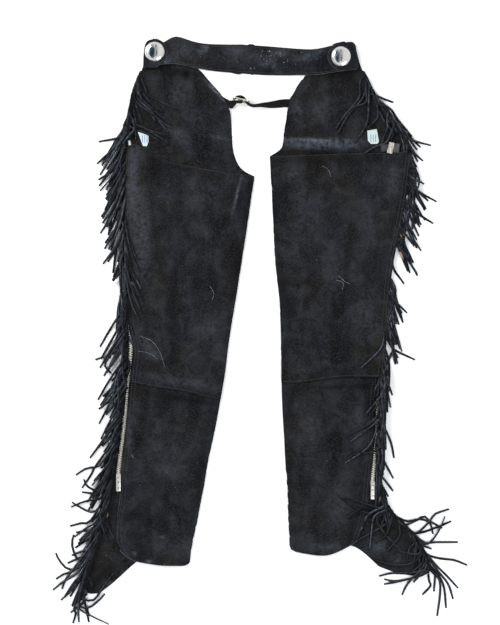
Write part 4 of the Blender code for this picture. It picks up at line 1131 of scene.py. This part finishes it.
STRIPS = {
    "left": [
        Strip(72, ((149, 95), (160, 102), (177, 110))),
        Strip(76, ((141, 90), (150, 103), (163, 112))),
        Strip(78, ((141, 97), (150, 108), (171, 125))),
        Strip(84, ((137, 98), (152, 113), (168, 133))),
        Strip(88, ((136, 102), (150, 113), (171, 129))),
        Strip(95, ((131, 118), (141, 128), (170, 138))),
        Strip(100, ((130, 118), (138, 127), (168, 136))),
        Strip(104, ((130, 121), (147, 130), (169, 144))),
        Strip(110, ((129, 126), (147, 134), (159, 141))),
        Strip(112, ((135, 128), (129, 137), (118, 151))),
        Strip(123, ((119, 143), (97, 164))),
        Strip(128, ((118, 152), (107, 170))),
        Strip(132, ((116, 150), (100, 175))),
        Strip(140, ((117, 163), (99, 186))),
        Strip(144, ((116, 172), (100, 191))),
        Strip(165, ((115, 190), (105, 210))),
        Strip(172, ((118, 198), (108, 218))),
        Strip(181, ((118, 207), (107, 227))),
        Strip(191, ((120, 217), (112, 238))),
        Strip(195, ((121, 222), (114, 240))),
        Strip(214, ((123, 241), (118, 262))),
        Strip(218, ((119, 243), (108, 262))),
        Strip(221, ((116, 246), (103, 264))),
        Strip(216, ((129, 238), (137, 259))),
        Strip(224, ((131, 250), (140, 272))),
        Strip(236, ((126, 262), (126, 283))),
        Strip(242, ((131, 268), (141, 289))),
        Strip(252, ((133, 280), (143, 301))),
        Strip(262, ((132, 288), (141, 310))),
        Strip(272, ((131, 300), (140, 321))),
        Strip(305, ((113, 325), (100, 347))),
        Strip(315, ((113, 338), (101, 359))),
        Strip(320, ((123, 345), (124, 376), (129, 392))),
        Strip(325, ((112, 348), (100, 368))),
        Strip(330, ((113, 352), (105, 365), (111, 373))),
        Strip(355, ((111, 378), (98, 400))),
        Strip(378, ((111, 402), (99, 424))),
        Strip(394, ((112, 418), (101, 439))),
        Strip(417, ((106, 436), (102, 442), (90, 458))),
        Strip(434, ((101, 464), (93, 467), (85, 469), (76, 475))),
        Strip(432, ((97, 464), (91, 475), (82, 488))),
        Strip(459, ((104, 489), (98, 491), (87, 486), (84, 479))),
        Strip(458, ((98, 493), (91, 493), (82, 492))),
        Strip(474, ((102, 497), (90, 500), (80, 503), (71, 507))),
        Strip(477, ((101, 505), (92, 512), (80, 507), (72, 502))),
        Strip(478, ((92, 519), (81, 523), (70, 526))),
        Strip(482, ((98, 519), (86, 528), (76, 536), (69, 537))),
        Strip(528, ((90, 554), (80, 561), (74, 552), (72, 543), (74, 534))),
        Strip(538, ((90, 560), (80, 567), (68, 569), (58, 558), (55, 549))),
        Strip(541, ((77, 568), (64, 574), (56, 579))),
        Strip(534, ((72, 571), (66, 579), (62, 589))),
        Strip(546, ((78, 572), (64, 581), (53, 590))),
        Strip(542, ((79, 579), (72, 590), (61, 600))),
        Strip(560, ((81, 585), (76, 596), (72, 606))),
        Strip(566, ((75, 605), (76, 613), (73, 623))),
        Strip(570, ((79, 604), (79, 622))),
        Strip(572, ((84, 590), (86, 607), (89, 622))),
        Strip(576, ((79, 606), (87, 613), (98, 619), (109, 624))),
        Strip(578, ((81, 595), (87, 600), (95, 599), (104, 586), (114, 573))),
        Strip(574, ((79, 601), (87, 608), (98, 601), (108, 590), (115, 583))),
    ],
    "right": [
        Strip(74, ((360, 82), (360, 96), (354, 105), (343, 118), (336, 129))),
        Strip(80, ((366, 90), (361, 101), (349, 114), (338, 134))),
        Strip(78, ((366, 90), (367, 101), (362, 105), (354, 107), (348, 112))),
        Strip(84, ((369, 101), (368, 119), (364, 130), (354, 143))),
        Strip(96, ((378, 111), (377, 119), (368, 128))),
        Strip(76, ((375, 96), (387, 116), (398, 124), (418, 139))),
        Strip(88, ((377, 104), (390, 109), (399, 122), (412, 137))),
        Strip(104, ((398, 127), (405, 138), (437, 147))),
        Strip(110, ((403, 132), (417, 150))),
        Strip(112, ((387, 124), (393, 133), (391, 139))),
        Strip(122, ((387, 142), (375, 147), (364, 154))),
        Strip(126, ((411, 150), (423, 161))),
        Strip(134, ((412, 162), (419, 179), (417, 189))),
        Strip(140, ((408, 174), (424, 184))),
        Strip(148, ((407, 182), (417, 191), (428, 201))),
        Strip(160, ((403, 193), (414, 210))),
        Strip(172, ((403, 201), (412, 212), (421, 225))),
        Strip(188, ((402, 214), (413, 234))),
        Strip(196, ((399, 222), (412, 244))),
        Strip(214, ((396, 242), (407, 261))),
        Strip(216, ((397, 244), (412, 262))),
        Strip(236, ((392, 264), (404, 284))),
        Strip(262, ((389, 292), (402, 313))),
        Strip(266, ((390, 294), (407, 313))),
        Strip(290, ((387, 320), (399, 341))),
        Strip(310, ((386, 336), (398, 358))),
        Strip(346, ((384, 372), (392, 395))),
        Strip(330, ((381, 348), (361, 368))),
        Strip(364, ((384, 389), (365, 415))),
        Strip(398, ((375, 419), (350, 434))),
        Strip(404, ((379, 419), (350, 442))),
        Strip(412, ((382, 440), (373, 451), (356, 453), (346, 458))),
        Strip(418, ((390, 440), (394, 458))),
        Strip(424, ((369, 446), (345, 463))),
        Strip(470, ((387, 483), (393, 491))),
        Strip(494, ((384, 504), (377, 511), (369, 513), (359, 510), (346, 502), (338, 495))),
        Strip(498, ((385, 508), (366, 504), (352, 499), (340, 497))),
        Strip(500, ((384, 512), (366, 507), (356, 511), (347, 518))),
        Strip(506, ((392, 516), (384, 525), (369, 534), (358, 540))),
        Strip(502, ((368, 515), (361, 530))),
        Strip(504, ((375, 515), (372, 529), (370, 548))),
        Strip(508, ((377, 517), (381, 529), (392, 542), (405, 556))),
        Strip(510, ((386, 535), (374, 542))),
        Strip(512, ((402, 525), (415, 521), (424, 516), (430, 523), (433, 534))),
        Strip(515, ((407, 521), (420, 519), (433, 523), (442, 528))),
        Strip(520, ((415, 533), (437, 527), (451, 521))),
        Strip(524, ((415, 533), (428, 523), (435, 514), (449, 509))),
        Strip(530, ((424, 544), (433, 539), (440, 528), (445, 516))),
        Strip(532, ((424, 542), (437, 542), (458, 542))),
        Strip(541, ((425, 553), (438, 558), (454, 560), (467, 565))),
        Strip(545, ((418, 554), (402, 552), (392, 548))),
        Strip(549, ((414, 562), (402, 565), (388, 564), (376, 560))),
        Strip(552, ((436, 565), (446, 575), (458, 588))),
        Strip(556, ((438, 571), (448, 584), (453, 599))),
        Strip(558, ((420, 570), (407, 573), (391, 573), (379, 576))),
        Strip(562, ((439, 576), (444, 588), (446, 608))),
        Strip(563, ((426, 572), (412, 578), (395, 581), (384, 579))),
        Strip(566, ((432, 572), (439, 579), (440, 593), (437, 616))),
        Strip(568, ((424, 574), (411, 578), (395, 582), (384, 584))),
        Strip(570, ((423, 570), (415, 575), (406, 586), (402, 595))),
    ],
}
LIES = {
    "left": [
        Lie(72, 22, 40, 8, 0), Lie(95, 18, 40, 10, 0), Lie(108, 6, 44, 8, 0), Lie(118, -18, 42, 6, 2),
        Lie(150, -19, 42, 7, 3), Lie(170, -16, 43, 7, 3), Lie(200, -12, 45, 7, 3),
        Lie(225, -5, 46, 8, 1), Lie(245, 2, 47, 7, 0), Lie(290, 0, 47, 8, 0), Lie(310, -8, 44, 8, 2),
        Lie(350, -14, 41, 8, 3), Lie(400, -16, 41, 8, 3), Lie(440, -16, 40, 8, 2),
        Lie(490, -20, 37, 8, 0), Lie(540, -19, 33, 9, 0), Lie(575, -9, 34, 11, 0),
    ],
    "right": [
        Lie(72, 14, 44, 4, 0), Lie(90, 16, 42, 6, 0), Lie(110, 16, 42, 7, 0), Lie(130, 14, 44, 7, 3),
        Lie(156, 14, 45, 6, 5), Lie(210, 12, 46, 6, 5), Lie(260, 11, 46, 6, 4), Lie(310, 9, 46, 6, 3),
        Lie(350, 0, 46, 6, 0), Lie(420, 0, 45, 6, 0), Lie(470, 2, 40, 7, 0), Lie(495, -6, 36, 14, 0),
        Lie(530, 0, 30, 20, 0), Lie(560, 4, 30, 18, 0), Lie(576, -6, 24, 14, 0),
    ],
}
# Strips that start about here lean outward, clear of the labels
LABEL_ROOT = 106
LABEL_REACH = 20
LABEL_LEAN = 0.8
# Strips that start in these heights come out from under the thigh's edge
UNDER_EDGE = {"left": (126, 226), "right": (112, 372)}
# Between these roots some clumps of the right strips stay tucked flat under the thigh, along the seam
TUCKED_FROM = 126
TUCKED_TO = 345
TUCKED_OVER = -0.05
# Lowest root of each stretch, and the height below which a tip belongs to the hem
STRETCHES = {"hip": 305 * MM, "thigh": 110 * MM, "knee": -62 * MM, "calf": -275 * MM, "flap": -1.0}
HEM = {"left": -505 * MM, "right": -478 * MM}
ZIP_TOP = 345 * MM
ZIP_FOOT = -275 * MM
CELL = 1.5 * MM
PILE_CORNER = np.array((-0.45, -0.63))
PILE_CELLS = (600, 840)


def on_garment(x, y):
    """A place of the photograph, on the garment."""
    return Vector(((x - MIDDLE_X) * PIXEL, (MIDDLE_Y - y) * PIXEL))


def smooth_route(places):
    """A smooth curve through places, as close points with the run to each."""
    ends = [places[0] * 2 - places[1], *places, places[-1] * 2 - places[-2]]
    fine = []
    for a, b, c, d in zip(ends, ends[1:], ends[2:], ends[3:]):
        for k in range(10):
            t = k / 10
            fine.append(0.5 * (2 * b + (c - a) * t + (2 * a - 5 * b + 4 * c - d) * t ** 2
                               + (3 * b - a - 3 * c + d) * t ** 3))
    fine.append(places[-1])
    fine = np.array([point[:] for point in fine])
    run = np.concatenate(((0,), np.cumsum(np.linalg.norm(np.diff(fine, axis=0), axis=1))))
    return fine, run


def outseam(name, y):
    """X of a leg's outseam at a height."""
    ys, xs = outseams[name]
    return float(np.interp(y, ys, xs))


def by_zip(y):
    """Whether the outseam has the zip beside it at a height."""
    return ZIP_FOOT < y < ZIP_TOP


def pile_cells(places):
    cells = ((places - PILE_CORNER) / CELL).astype(int)
    return cells[:, 0], cells[:, 1]


def lay_strip(places, ground, cover):
    """Points of a strip's middle line, lying on what is under it and on the strips before it."""
    fine, run = smooth_route(places)
    length = min(run[-1], LONGEST)
    at = np.linspace(0, length, STRIP_POINTS)
    line = np.column_stack([np.interp(at, run, fine[:, k]) for k in (0, 1)])
    along = np.gradient(line, axis=0)
    along /= np.linalg.norm(along, axis=1)[:, None]
    across = np.column_stack((along[:, 1], -along[:, 0]))
    foot = [line + across * STRIP_WIDTH * share for share in (-0.42, 0.0, 0.42)]
    height = np.array([top_of(ground, *place) for place in line])
    height = np.maximum.reduce([height] + [pile[pile_cells(side)] for side in foot])
    gap = length / (len(at) - 1)
    for order in (range(1, len(at)), range(len(at) - 2, -1, -1)):
        for k in order:
            before = k - 1 if order.step == 1 else k + 1
            height[k] = max(height[k], height[before] - STEEPEST * gap)
    eased = np.convolve(np.pad(height, 3, mode="edge"), np.ones(7) / 7, mode="valid")
    height = np.maximum(height * 0.6 + eased * 0.4, eased)
    height = np.minimum(height, HIGHEST) + STRIP_THICKNESS / 2
    if cover:
        over = np.array([top_of(cover, *place) for place in line])
        low = over - SUEDE - STRIP_THICKNESS / 2 - 0.2 * MM
        height = np.where(over > 0, np.minimum(height, np.maximum(low, 1.2 * MM)), height)
    for side in foot:
        pile[pile_cells(side)] = np.maximum(pile[pile_cells(side)], height + STRIP_THICKNESS / 2)
    rings = np.linspace(0, len(at) - 1, STRIP_RINGS)
    return np.column_stack([np.interp(rings, range(len(at)), values)
                            for values in (line[:, 0], line[:, 1], height)])


def clear_of_pull(places, name, side):
    """Places of a route, moved out of the way that the zip's pull swings."""
    axis = hinges[f"pull_{name}_hinge"].xy
    for place in places:
        off = place - axis
        if abs(off.x) < PULL_ROOM.x and abs(off.y) < PULL_ROOM.y:
            place.x = axis.x + side * PULL_ROOM.x
    return places


def lie_at(name, root):
    """How strips lie from a root height on, between the rows of the table."""
    rows = LIES[name]
    at = [row.root for row in rows]
    return [float(np.interp(root, at, [row[k] for row in rows])) for k in (1, 2, 3, 4)]


strip_form = bmesh.new()
bmesh.ops.create_cube(strip_form, size=1)
bmesh.ops.translate(strip_form, vec=(0, 0.5, 0), verts=strip_form.verts)
for k in range(1, STRIP_RINGS - 1):
    bmesh.ops.bisect_plane(strip_form, geom=everything(strip_form),
                           plane_co=(0, k / (STRIP_RINGS - 1), 0), plane_no=(0, 1, 0))
strip_mesh = mesh_of("strip", strip_form)


def bend_strip(bm, line, width, thickness, twist=0.0, turn=0.0):
    """Adds a strip bent along a line, twisted by two angles. Gives each point's share of the run,
    whether it is on the underside and whether on the edge that faces the window."""
    along = np.gradient(line, axis=0)
    shares = []
    for vert in copied_in(bm, strip_mesh):
        share = vert.co.y
        low = vert.co.z < 0
        ring = round(share * (STRIP_RINGS - 1))
        run = Vector(along[ring]).normalized()
        twisted = Matrix.Rotation(twist + turn * share, 3, run)
        sideways = (twisted @ run.cross(Vector((0, 0, 1)))).normalized()
        lit = vert.co.x * (sideways.y - 0.5 * sideways.x) > 0
        rise = abs(sideways.z) * (width - thickness) / 2 + TWIST_ROOM
        narrow = 1 - 0.25 * smooth_step((share - 0.8) / 0.2)
        off = sideways * vert.co.x * width * narrow + sideways.cross(run) * vert.co.z * thickness
        vert.co = Vector(line[ring]) + Vector((0, 0, rise)) + off
        shares.append((share, low, lit))
    return shares


fringe_suede = suede("suede_fringe", (0.4, 0.6, 0.9), dust=0.05, brown=0.25, nap=1.4)
tree = fringe_suede.node_tree
shader = tree.nodes["Principled BSDF"]
dyed = shader.inputs["Base Color"].links[0].from_socket
undyed = mixed(tree, read(tree, "undyed"), dyed, (0.24, 0.17, 0.115))
tree.links.new(undyed, shader.inputs["Base Color"])

chance = random.Random(11)
pile = np.zeros(PILE_CELLS)
headers = {}
for name, side in SIDES.items():
    top = on_garment(0, HEADER_TOP).y
    foot = on_garment(0, HEADER_FOOT[name]).y
    band = bmesh.new()
    bmesh.ops.create_grid(band, x_segments=1, y_segments=160, size=0.5)
    base = surfaces([fronts[name], frame["nodes"][f"zip_tape_{name}"]])
    for vert in band.verts:
        y = foot + (top - foot) * (vert.co.y + 0.5)
        inset = (ROOT_BY_ZIP if by_zip(y) else ROOT_AT_EDGE) - 1.2 * MM + (vert.co.x + 0.5) * HEADER_WIDTH
        x = outseam(name, y) - side * inset
        vert.co = (x, y, top_of(base, x, y) + 0.15 * MM)
    face_up(band)
    headers[name] = cloth(f"fringe_header_{name}", band, side, fringe_suede,
                          edges=Edges(0.2, 0.1, 0, 0), thickness=HEADER_THICKNESS, offset=1.0)
whole = surfaces([*fronts.values(), *(piece for pair in backs.values() for piece in pair),
                  *labels.values(), *headers.values(), belt, *tab_pieces.values(),
                  *(frame["nodes"][f"zip_{part}_{name}"] for part in ("tape", "slider", "chain")
                    for name in SIDES)])
lower = surfaces([*fronts.values(), *labels.values(), *headers.values(),
                  *(frame["nodes"][f"zip_{part}_{name}"] for part in ("tape", "slider")
                    for name in SIDES)])
covers = {name: surfaces([backs[name][0]]) for name in SIDES}
fringes = {}
for name, side in SIDES.items():
    top = on_garment(0, HEADER_TOP + 1).y
    foot = on_garment(0, HEADER_FOOT[name] + 1).y
    roots = list(np.arange(foot, top, STRIP_PITCH))
    laid = []
    for strip in STRIPS[name]:
        start_y = min(roots, key=lambda y: abs(y - on_garment(0, strip.root).y))
        roots.remove(start_y)
        laid.append((start_y, [on_garment(*place) for place in strip.route], True))
    between = []
    tucked = set()
    for start_y in roots:
        root = MIDDLE_Y - start_y / PIXEL
        across, down, spread, bow = lie_at(name, root)
        lean = noise.noise((start_y * 48, side, 0.3)) * 2.1 + chance.uniform(-0.3, 0.3)
        if abs(root - LABEL_ROOT) < LABEL_REACH:
            lean = side * (abs(lean) + LABEL_LEAN)
        seam = Vector((outseam(name, start_y), start_y))
        tip = seam + Vector((across + spread * lean, -down * chance.uniform(0.9, 1.08))) * PIXEL
        bend = Vector((chance.uniform(-3, 3) - side * bow, chance.uniform(-2, 2))) * PIXEL
        middle = seam.lerp(tip, 0.5) + bend
        hook = Vector((side * chance.uniform(0.5, 3), -chance.uniform(4, 7))) * PIXEL
        route = [seam.lerp(tip, 0.2) + hook * 0.4, middle, tip]
        if root > 490 or chance.random() < 0.2:
            turn = Matrix.Rotation(chance.uniform(-0.9, 0.9), 2)
            route[2] = middle + turn @ (tip - middle)
        clump = noise.noise((start_y * 60, side, 5.7))
        if name == "right" and TUCKED_FROM < root < TUCKED_TO and clump > TUCKED_OVER:
            route = [Vector((outseam(name, y) - side * ROOT_BY_ZIP, y))
                     for y in np.linspace(start_y, tip.y, 4)[1:]]
            tucked.add(start_y)
        between.append((start_y, route, False))
    chance.shuffle(between)
    parts = {stretch: (bmesh.new(), []) for stretch in (*STRETCHES, "hem")}
    for start_y, route, by_hand in between + laid:
        inset = ROOT_BY_ZIP if by_zip(start_y) else ROOT_AT_EDGE
        start = Vector((outseam(name, start_y) - side * inset, start_y))
        root = MIDDLE_Y - start_y / PIXEL
        low, high = UNDER_EDGE[name]
        inward = (outseam(name, route[-1].y) - route[-1].x) * side
        under = low < root < high and not (by_hand and inward > 10 * MM)
        places = clear_of_pull([start, *route], name, side)
        line = lay_strip(places, lower if under else whole, covers[name] if under else None)
        stretch = "hem" if line[-1, 1] < HEM[name] else next(
            stretch for stretch, foot in STRETCHES.items() if start_y > foot)
        bm, looks = parts[stretch]
        twist = chance.uniform(-0.35, 0.35)
        turn = chance.gauss(0, 0.5)
        if start_y in tucked:
            twist, turn = 0.0, 0.0
        # A strip's random worn paleness is painted as a highlight on its edge that faces the window. Its
        # other edge, its underside and its root are painted darker, as painted shade
        wear_and_painted_light = chance.uniform(0.0, 0.62) ** 2
        tan = chance.random() < TAN_SHARE and not by_hand
        tan_from = chance.uniform(0.1, 0.8)
        for share, low, lit in bend_strip(bm, line, STRIP_WIDTH, STRIP_THICKNESS, twist, turn):
            shown = float(tan and tan_from < share < tan_from + TAN_RUN)
            dark = max(0.75 * (1 - smooth_step(share / 0.25)), 0.85 * low, 0.0 if lit else SHADED_EDGE)
            looks.append(((0.10 + wear_and_painted_light) * (LIT_EDGE if lit else 0.2), dark, shown))
    for stretch, (bm, looks) in parts.items():
        bm.normal_update()
        mesh = mesh_of(f"fringe_strips_{stretch}_{name}", bm)
        for look, values in zip(("wear_and_light", "shade", "undyed"), zip(*looks)):
            paint(mesh, look, values)
        paint(mesh, "edge", [0.0] * len(looks))
        piece = add_object(f"fringe_strips_{stretch}_{name}", mesh, fringe_suede)
        fringes.setdefault(name, []).append(belongs(piece, f"fringe_{stretch}_{name}"))

# Zip ends. At the top of each zip the tape's end stands out over the thigh's edge: ribbed grey
# cotton on the right, with a plain white stay sewn on it, and a smaller white stay on the left.

# Middle in the photograph's pixels, size, turn and colour
ZipEnd = namedtuple("ZipEnd", "x y width length turn color")
RIB = 2.6 * MM
RIB_HEIGHT = 0.28 * MM
STAY_WAVE = 0.1 * MM
END_THICKNESS = 0.7 * MM
ZIP_ENDS = {
    "tape_right_inner": ZipEnd(384.4, 148.2, 13.5 * MM, 13 * MM, 4, (0.060, 0.058, 0.058)),
    "tape_right_outer": ZipEnd(395.6, 148.2, 13.5 * MM, 17 * MM, -8, (0.105, 0.100, 0.095)),
    "stay_right": ZipEnd(390.4, 148.2, 10 * MM, 21 * MM, -14, (0.72, 0.68, 0.60)),
    "stay_left": ZipEnd(130.0, 143.6, 4.5 * MM, 9 * MM, 8, (0.70, 0.69, 0.66)),
}


def cotton(name, color):
    """Woven cotton: a fine rib that shades the colour."""
    material, tree, shader, place = new_material(name, 0.9)
    rib = ribs(tree, place, 120.0, 0.6)
    soiled = times(tree, grain(tree, place, 160, 0.4, 0.7), 0.5)
    dark = tuple(c * 0.12 for c in color)
    thread = mixed(tree, rib, dark, color)
    dress(tree, shader, mixed(tree, soiled, thread, dark), raised(tree, rib, 0.5, 0.0002))
    return material


def pile_top(x, y):
    """Height of the cloth and strips under a place."""
    cells = [pile[pile_cells(np.array([(x + dx, y + dy)]))][0]
             for dx in (-CELL, 0, CELL) for dy in (-CELL, 0, CELL)]
    return max(top_of(whole, x, y), *cells)


for name, end in ZIP_ENDS.items():
    piece = bmesh.new()
    bmesh.ops.create_grid(piece, x_segments=40, y_segments=12, size=0.5)
    bmesh.ops.scale(piece, vec=(end.width, end.length, 1), verts=piece.verts)
    wave = RIB_HEIGHT if name.startswith("tape") else STAY_WAVE
    for vert in piece.verts:
        vert.co.z = wave * math.sin(vert.co.x / RIB * 2 * math.pi)
    bmesh.ops.rotate(piece, matrix=Matrix.Rotation(math.radians(end.turn), 3, "Z"), verts=piece.verts)
    bmesh.ops.translate(piece, vec=(*on_garment(end.x, end.y), 0), verts=piece.verts)
    under = [pile_top(v.co.x, v.co.y) for v in piece.verts]
    above = 2 * END_THICKNESS if name.startswith("stay") else 0.0
    for vert in piece.verts:
        vert.co.z += max(under) + END_THICKNESS + above
    face_up(piece)
    obj = add_object(f"zip_end_{name}", mesh_of(f"zip_end_{name}", piece),
                     cotton(f"cotton_{name}", end.color))
    add_wall(obj, END_THICKNESS, -1.0)
    belongs(obj)

# Stitching. Black thread holds the knee seams, the backs' zipped edges and the doubled belt. Each
# stitch is 3 mm long and lies in the nap.

STITCH = Vector((0.75, 2.9, 0.5)) * MM
STITCH_PITCH = 4.0 * MM
# A seam is read at these steps, from the border's points within a reach
SEAM_STEP = 6 * MM
SEAM_REACH = 5 * MM
# How much of each seam is left out at its ends, and how far inside the edge it lies
OUTSEAM_ENDS = (12 * MM, 6 * MM)
ROW_INSETS = (4 * MM, 10 * MM)
KNEE_ENDS = (14 * MM, 14 * MM)
KNEE_INSET = 3.5 * MM
BELT_ENDS = (30 * MM, 30 * MM)
BELT_INSET = 4 * MM
thread_black, tree, shader, place = new_material("black_thread", 0.6)
ply = ribs(tree, place, 1500.0, 0.5, bands_direction="DIAGONAL")
dress(tree, shader, mixed(tree, ply, (0.004, 0.004, 0.005), (0.026, 0.026, 0.030)))

stitch_form = bmesh.new()
block(stitch_form, STITCH, edge=0.2 * MM)
stitch_mesh = mesh_of("stitch", stitch_form)


def stitch_row(bm, places, tree):
    """Stitches at even steps along places, lying on what a tree finds there."""
    run = np.concatenate(((0,), np.cumsum(np.linalg.norm(np.diff(places, axis=0), axis=1))))
    at = np.arange(STITCH_PITCH / 2, run[-1], STITCH_PITCH)
    line = np.column_stack([np.interp(at, run, places[:, k]) for k in (0, 1)])
    ahead = np.gradient(line, axis=0)
    for (x, y), (dx, dy) in zip(line, ahead):
        height = top_of(tree, x, y)
        if height == 0.0:
            continue
        turn = Matrix.Rotation(math.atan2(dy, dx) - math.pi / 2, 4, "Z")
        bmesh.ops.transform(bm, matrix=Matrix.Translation((x, y, height + 0.05 * MM)) @ turn,
                            verts=copied_in(bm, stitch_mesh))


def edge_points(obj, axis, sign, ends, inset):
    """Places along one side of an open surface's border, moved inward.

    The side runs along an axis, 0 for X and 1 for Y. sign says which of the two sides it is, and
    ends how much is left out at its start and end.
    """
    bm = bm_of(obj.data)
    border = [v.co.xy for v in bm.verts if v.is_boundary]
    bm.free()
    along = [place[axis] for place in border]
    places = []
    for at in np.arange(min(along) + ends[0], max(along) - ends[1], SEAM_STEP):
        near = [place[1 - axis] for place in border if abs(place[axis] - at) < SEAM_REACH]
        if near:
            edge = max(near, key=lambda value: value * sign) - sign * inset
            places.append((edge, at) if axis else (at, edge))
    return np.array(places)


for name, side in SIDES.items():
    thigh, calf = backs[name]
    seams = bmesh.new()
    for piece in (thigh, calf):
        ground_tree = surfaces([piece])
        for inset in ROW_INSETS:
            stitch_row(seams, edge_points(piece, 1, side, OUTSEAM_ENDS, inset), ground_tree)
    knee = edge_points(thigh, 0, -1, KNEE_ENDS, KNEE_INSET)
    stitch_row(seams, knee, surfaces([thigh]))
    piece = add_object(f"seam_stitches_{name}", mesh_of(f"seam_stitches_{name}", seams), thread_black)
    belongs(piece)
belt_stitches = bmesh.new()
for sign in (-1, 1):
    stitch_row(belt_stitches, edge_points(belt, 0, sign, BELT_ENDS, BELT_INSET), surfaces([belt]))
belt_stitches = add_object("belt_stitches", mesh_of("belt_stitches", belt_stitches), thread_black)
belongs(belt_stitches)

# Lint and scratches. Pale flecks of fluff cling to the belt, a few to the legs, with some loose
# hairs. They are part of the nap's wear.

Patch = namedtuple("Patch", "x y rx ry count size")
FLECKS = [
    Patch(272, 58, 20, 12, 60, 1.4), Patch(232, 62, 16, 8, 5, 0.9), Patch(316, 60, 22, 9, 9, 0.8),
    Patch(190, 52, 14, 9, 6, 0.8), Patch(190, 260, 46, 90, 14, 0.7), Patch(325, 240, 45, 80, 14, 0.7),
    Patch(170, 470, 38, 80, 14, 0.8), Patch(330, 460, 34, 80, 12, 0.7), Patch(105, 545, 12, 30, 5, 1.0),
]
HAIRS = [
    ((140, 336), (152, 341), (160, 352), (165, 367)),
    ((138, 351), (149, 353), (158, 359)),
    ((131.8, 454.6), (132.7, 456), (133.8, 457.6)),
    ((338, 275), (344, 281), (350, 284)),
    ((322, 166), (328, 170), (331, 177)),
    ((336, 280), (343, 283), (342, 290)),
    ((210, 286), (214, 294), (212, 300)),
]
fluff, tree, shader, place = new_material("pale_fluff", 1.0)
soiled = grain(tree, place, 400, 0.35, 0.65)
dress(tree, shader, mixed(tree, soiled, (0.05, 0.05, 0.055), (0.26, 0.26, 0.27)))
lint = bmesh.new()
for patch in FLECKS:
    for n in range(patch.count):
        spot = on_garment(patch.x + chance.gauss(0, 0.5) * patch.rx,
                          patch.y + chance.gauss(0, 0.5) * patch.ry)
        height = top_of(whole, *spot)
        if height < 1 * MM:
            continue
        size = patch.size * chance.uniform(0.35, 1.0) * MM
        made = bmesh.ops.create_icosphere(lint, subdivisions=1, radius=size)["verts"]
        bmesh.ops.scale(lint, vec=(1, chance.uniform(0.4, 0.9), 0.25), verts=made)
        bmesh.ops.rotate(lint, matrix=Matrix.Rotation(chance.uniform(0, 3), 3, "Z"), verts=made)
        bmesh.ops.translate(lint, vec=(*spot, height), verts=made)
for hair in HAIRS:
    fine, run = smooth_route([on_garment(*place) for place in hair])
    at = np.linspace(0, run[-1], STRIP_RINGS)
    x, y = (np.interp(at, run, fine[:, k]) for k in (0, 1))
    height = [top_of(whole, *place) + 0.1 * MM for place in zip(x, y)]
    bend_strip(lint, np.column_stack((x, y, height)), 0.55 * MM, 0.3 * MM)
belongs(add_object("lint", mesh_of("lint", lint), fluff))

# Floor, light and camera. A white ground and wide soft light from above and the left, seen from
# straight above, as the photograph is.

ground, _, shader, _ = new_material("white_ground", 1.0)
shader.inputs["Base Color"].default_value = (0.9, 0.9, 0.9, 1)
shader.inputs["Specular IOR Level"].default_value = 0.0
FLOOR_REACH = 30.0
sheet = bmesh.new()
bmesh.ops.create_grid(sheet, x_segments=1, y_segments=1, size=FLOOR_REACH)
floor = add_object("floor", mesh_of("floor", sheet), ground)


def soft_light(name, place, size, power, color=(1.0, 1.0, 1.0)):
    """A square light that faces the garment's middle."""
    light = bpy.data.lights.new(name, "AREA")
    light.shape = "SQUARE"
    light.size = size
    light.energy = power
    light.color = color
    obj = bpy.data.objects.new(name, light)
    bpy.context.scene.collection.objects.link(obj)
    obj.location = place
    obj.rotation_euler = (-Vector(place)).to_track_quat("-Z", "Y").to_euler()


soft_light("window", (-1.8, 1.5, 1.7), 1.2, 85)
soft_light("sky", (1.5, -2.0, 2.9), 1.8, 85, (0.93, 0.96, 1.0))

world = bpy.data.worlds.new("studio")
world.use_nodes = True
# White walls all round and a streaky dark gap in the ceiling, which the polished buttons mirror
tree = world.node_tree
way = add_node(tree, "ShaderNodeTexCoord").outputs["Generated"]
up = add_node(tree, "ShaderNodeSeparateXYZ", {"Vector": way}).outputs["Z"]
high = add_node(tree, "ShaderNodeMapRange", {"Value": up, "From Min": 0.60, "From Max": 0.85})
gap = mapped(tree, way, location=(0.55, -0.15, 0.0), rotation=(0.0, 0.0, 0.25), scale=(2.7, 1.3, 0.0))
oval = add_node(tree, "ShaderNodeTexGradient", {"Vector": gap}, gradient_type="SPHERICAL")
hole = add_node(tree, "ShaderNodeMapRange", {"Value": oval.outputs["Fac"], "From Min": 0.05,
                                             "From Max": 0.20})
folds = mapped(tree, way, scale=(3.2, 0.5, 0.5), rotation=(0.0, 0.0, 0.25))
streak = grain(tree, folds, 2.6, 0.30, 0.48, 1.0)
dim = times(tree, times(tree, high.outputs["Result"], hole.outputs["Result"]), streak)
walls = mixed(tree, dim, (1.0, 1.0, 1.0), (0.02, 0.05, 0.08))
tree.links.new(walls, tree.nodes["Background"].inputs["Color"])
tree.nodes["Background"].inputs["Strength"].default_value = 0.8
bpy.context.scene.world = world
bpy.context.scene.view_settings.view_transform = "Standard"

FRAME_WIDTH = 500
FRAME_HEIGHT = 625
LENS = 100.0
SENSOR = 36.0
camera = bpy.data.cameras.new("camera")
camera.lens = LENS
camera.sensor_width = SENSOR
camera_object = bpy.data.objects.new("camera", camera)
camera_object.location = (*on_garment(FRAME_WIDTH / 2, FRAME_HEIGHT / 2),
                          FRAME_HEIGHT * PIXEL * LENS / SENSOR)
bpy.context.scene.collection.objects.link(camera_object)
bpy.context.scene.camera = camera_object
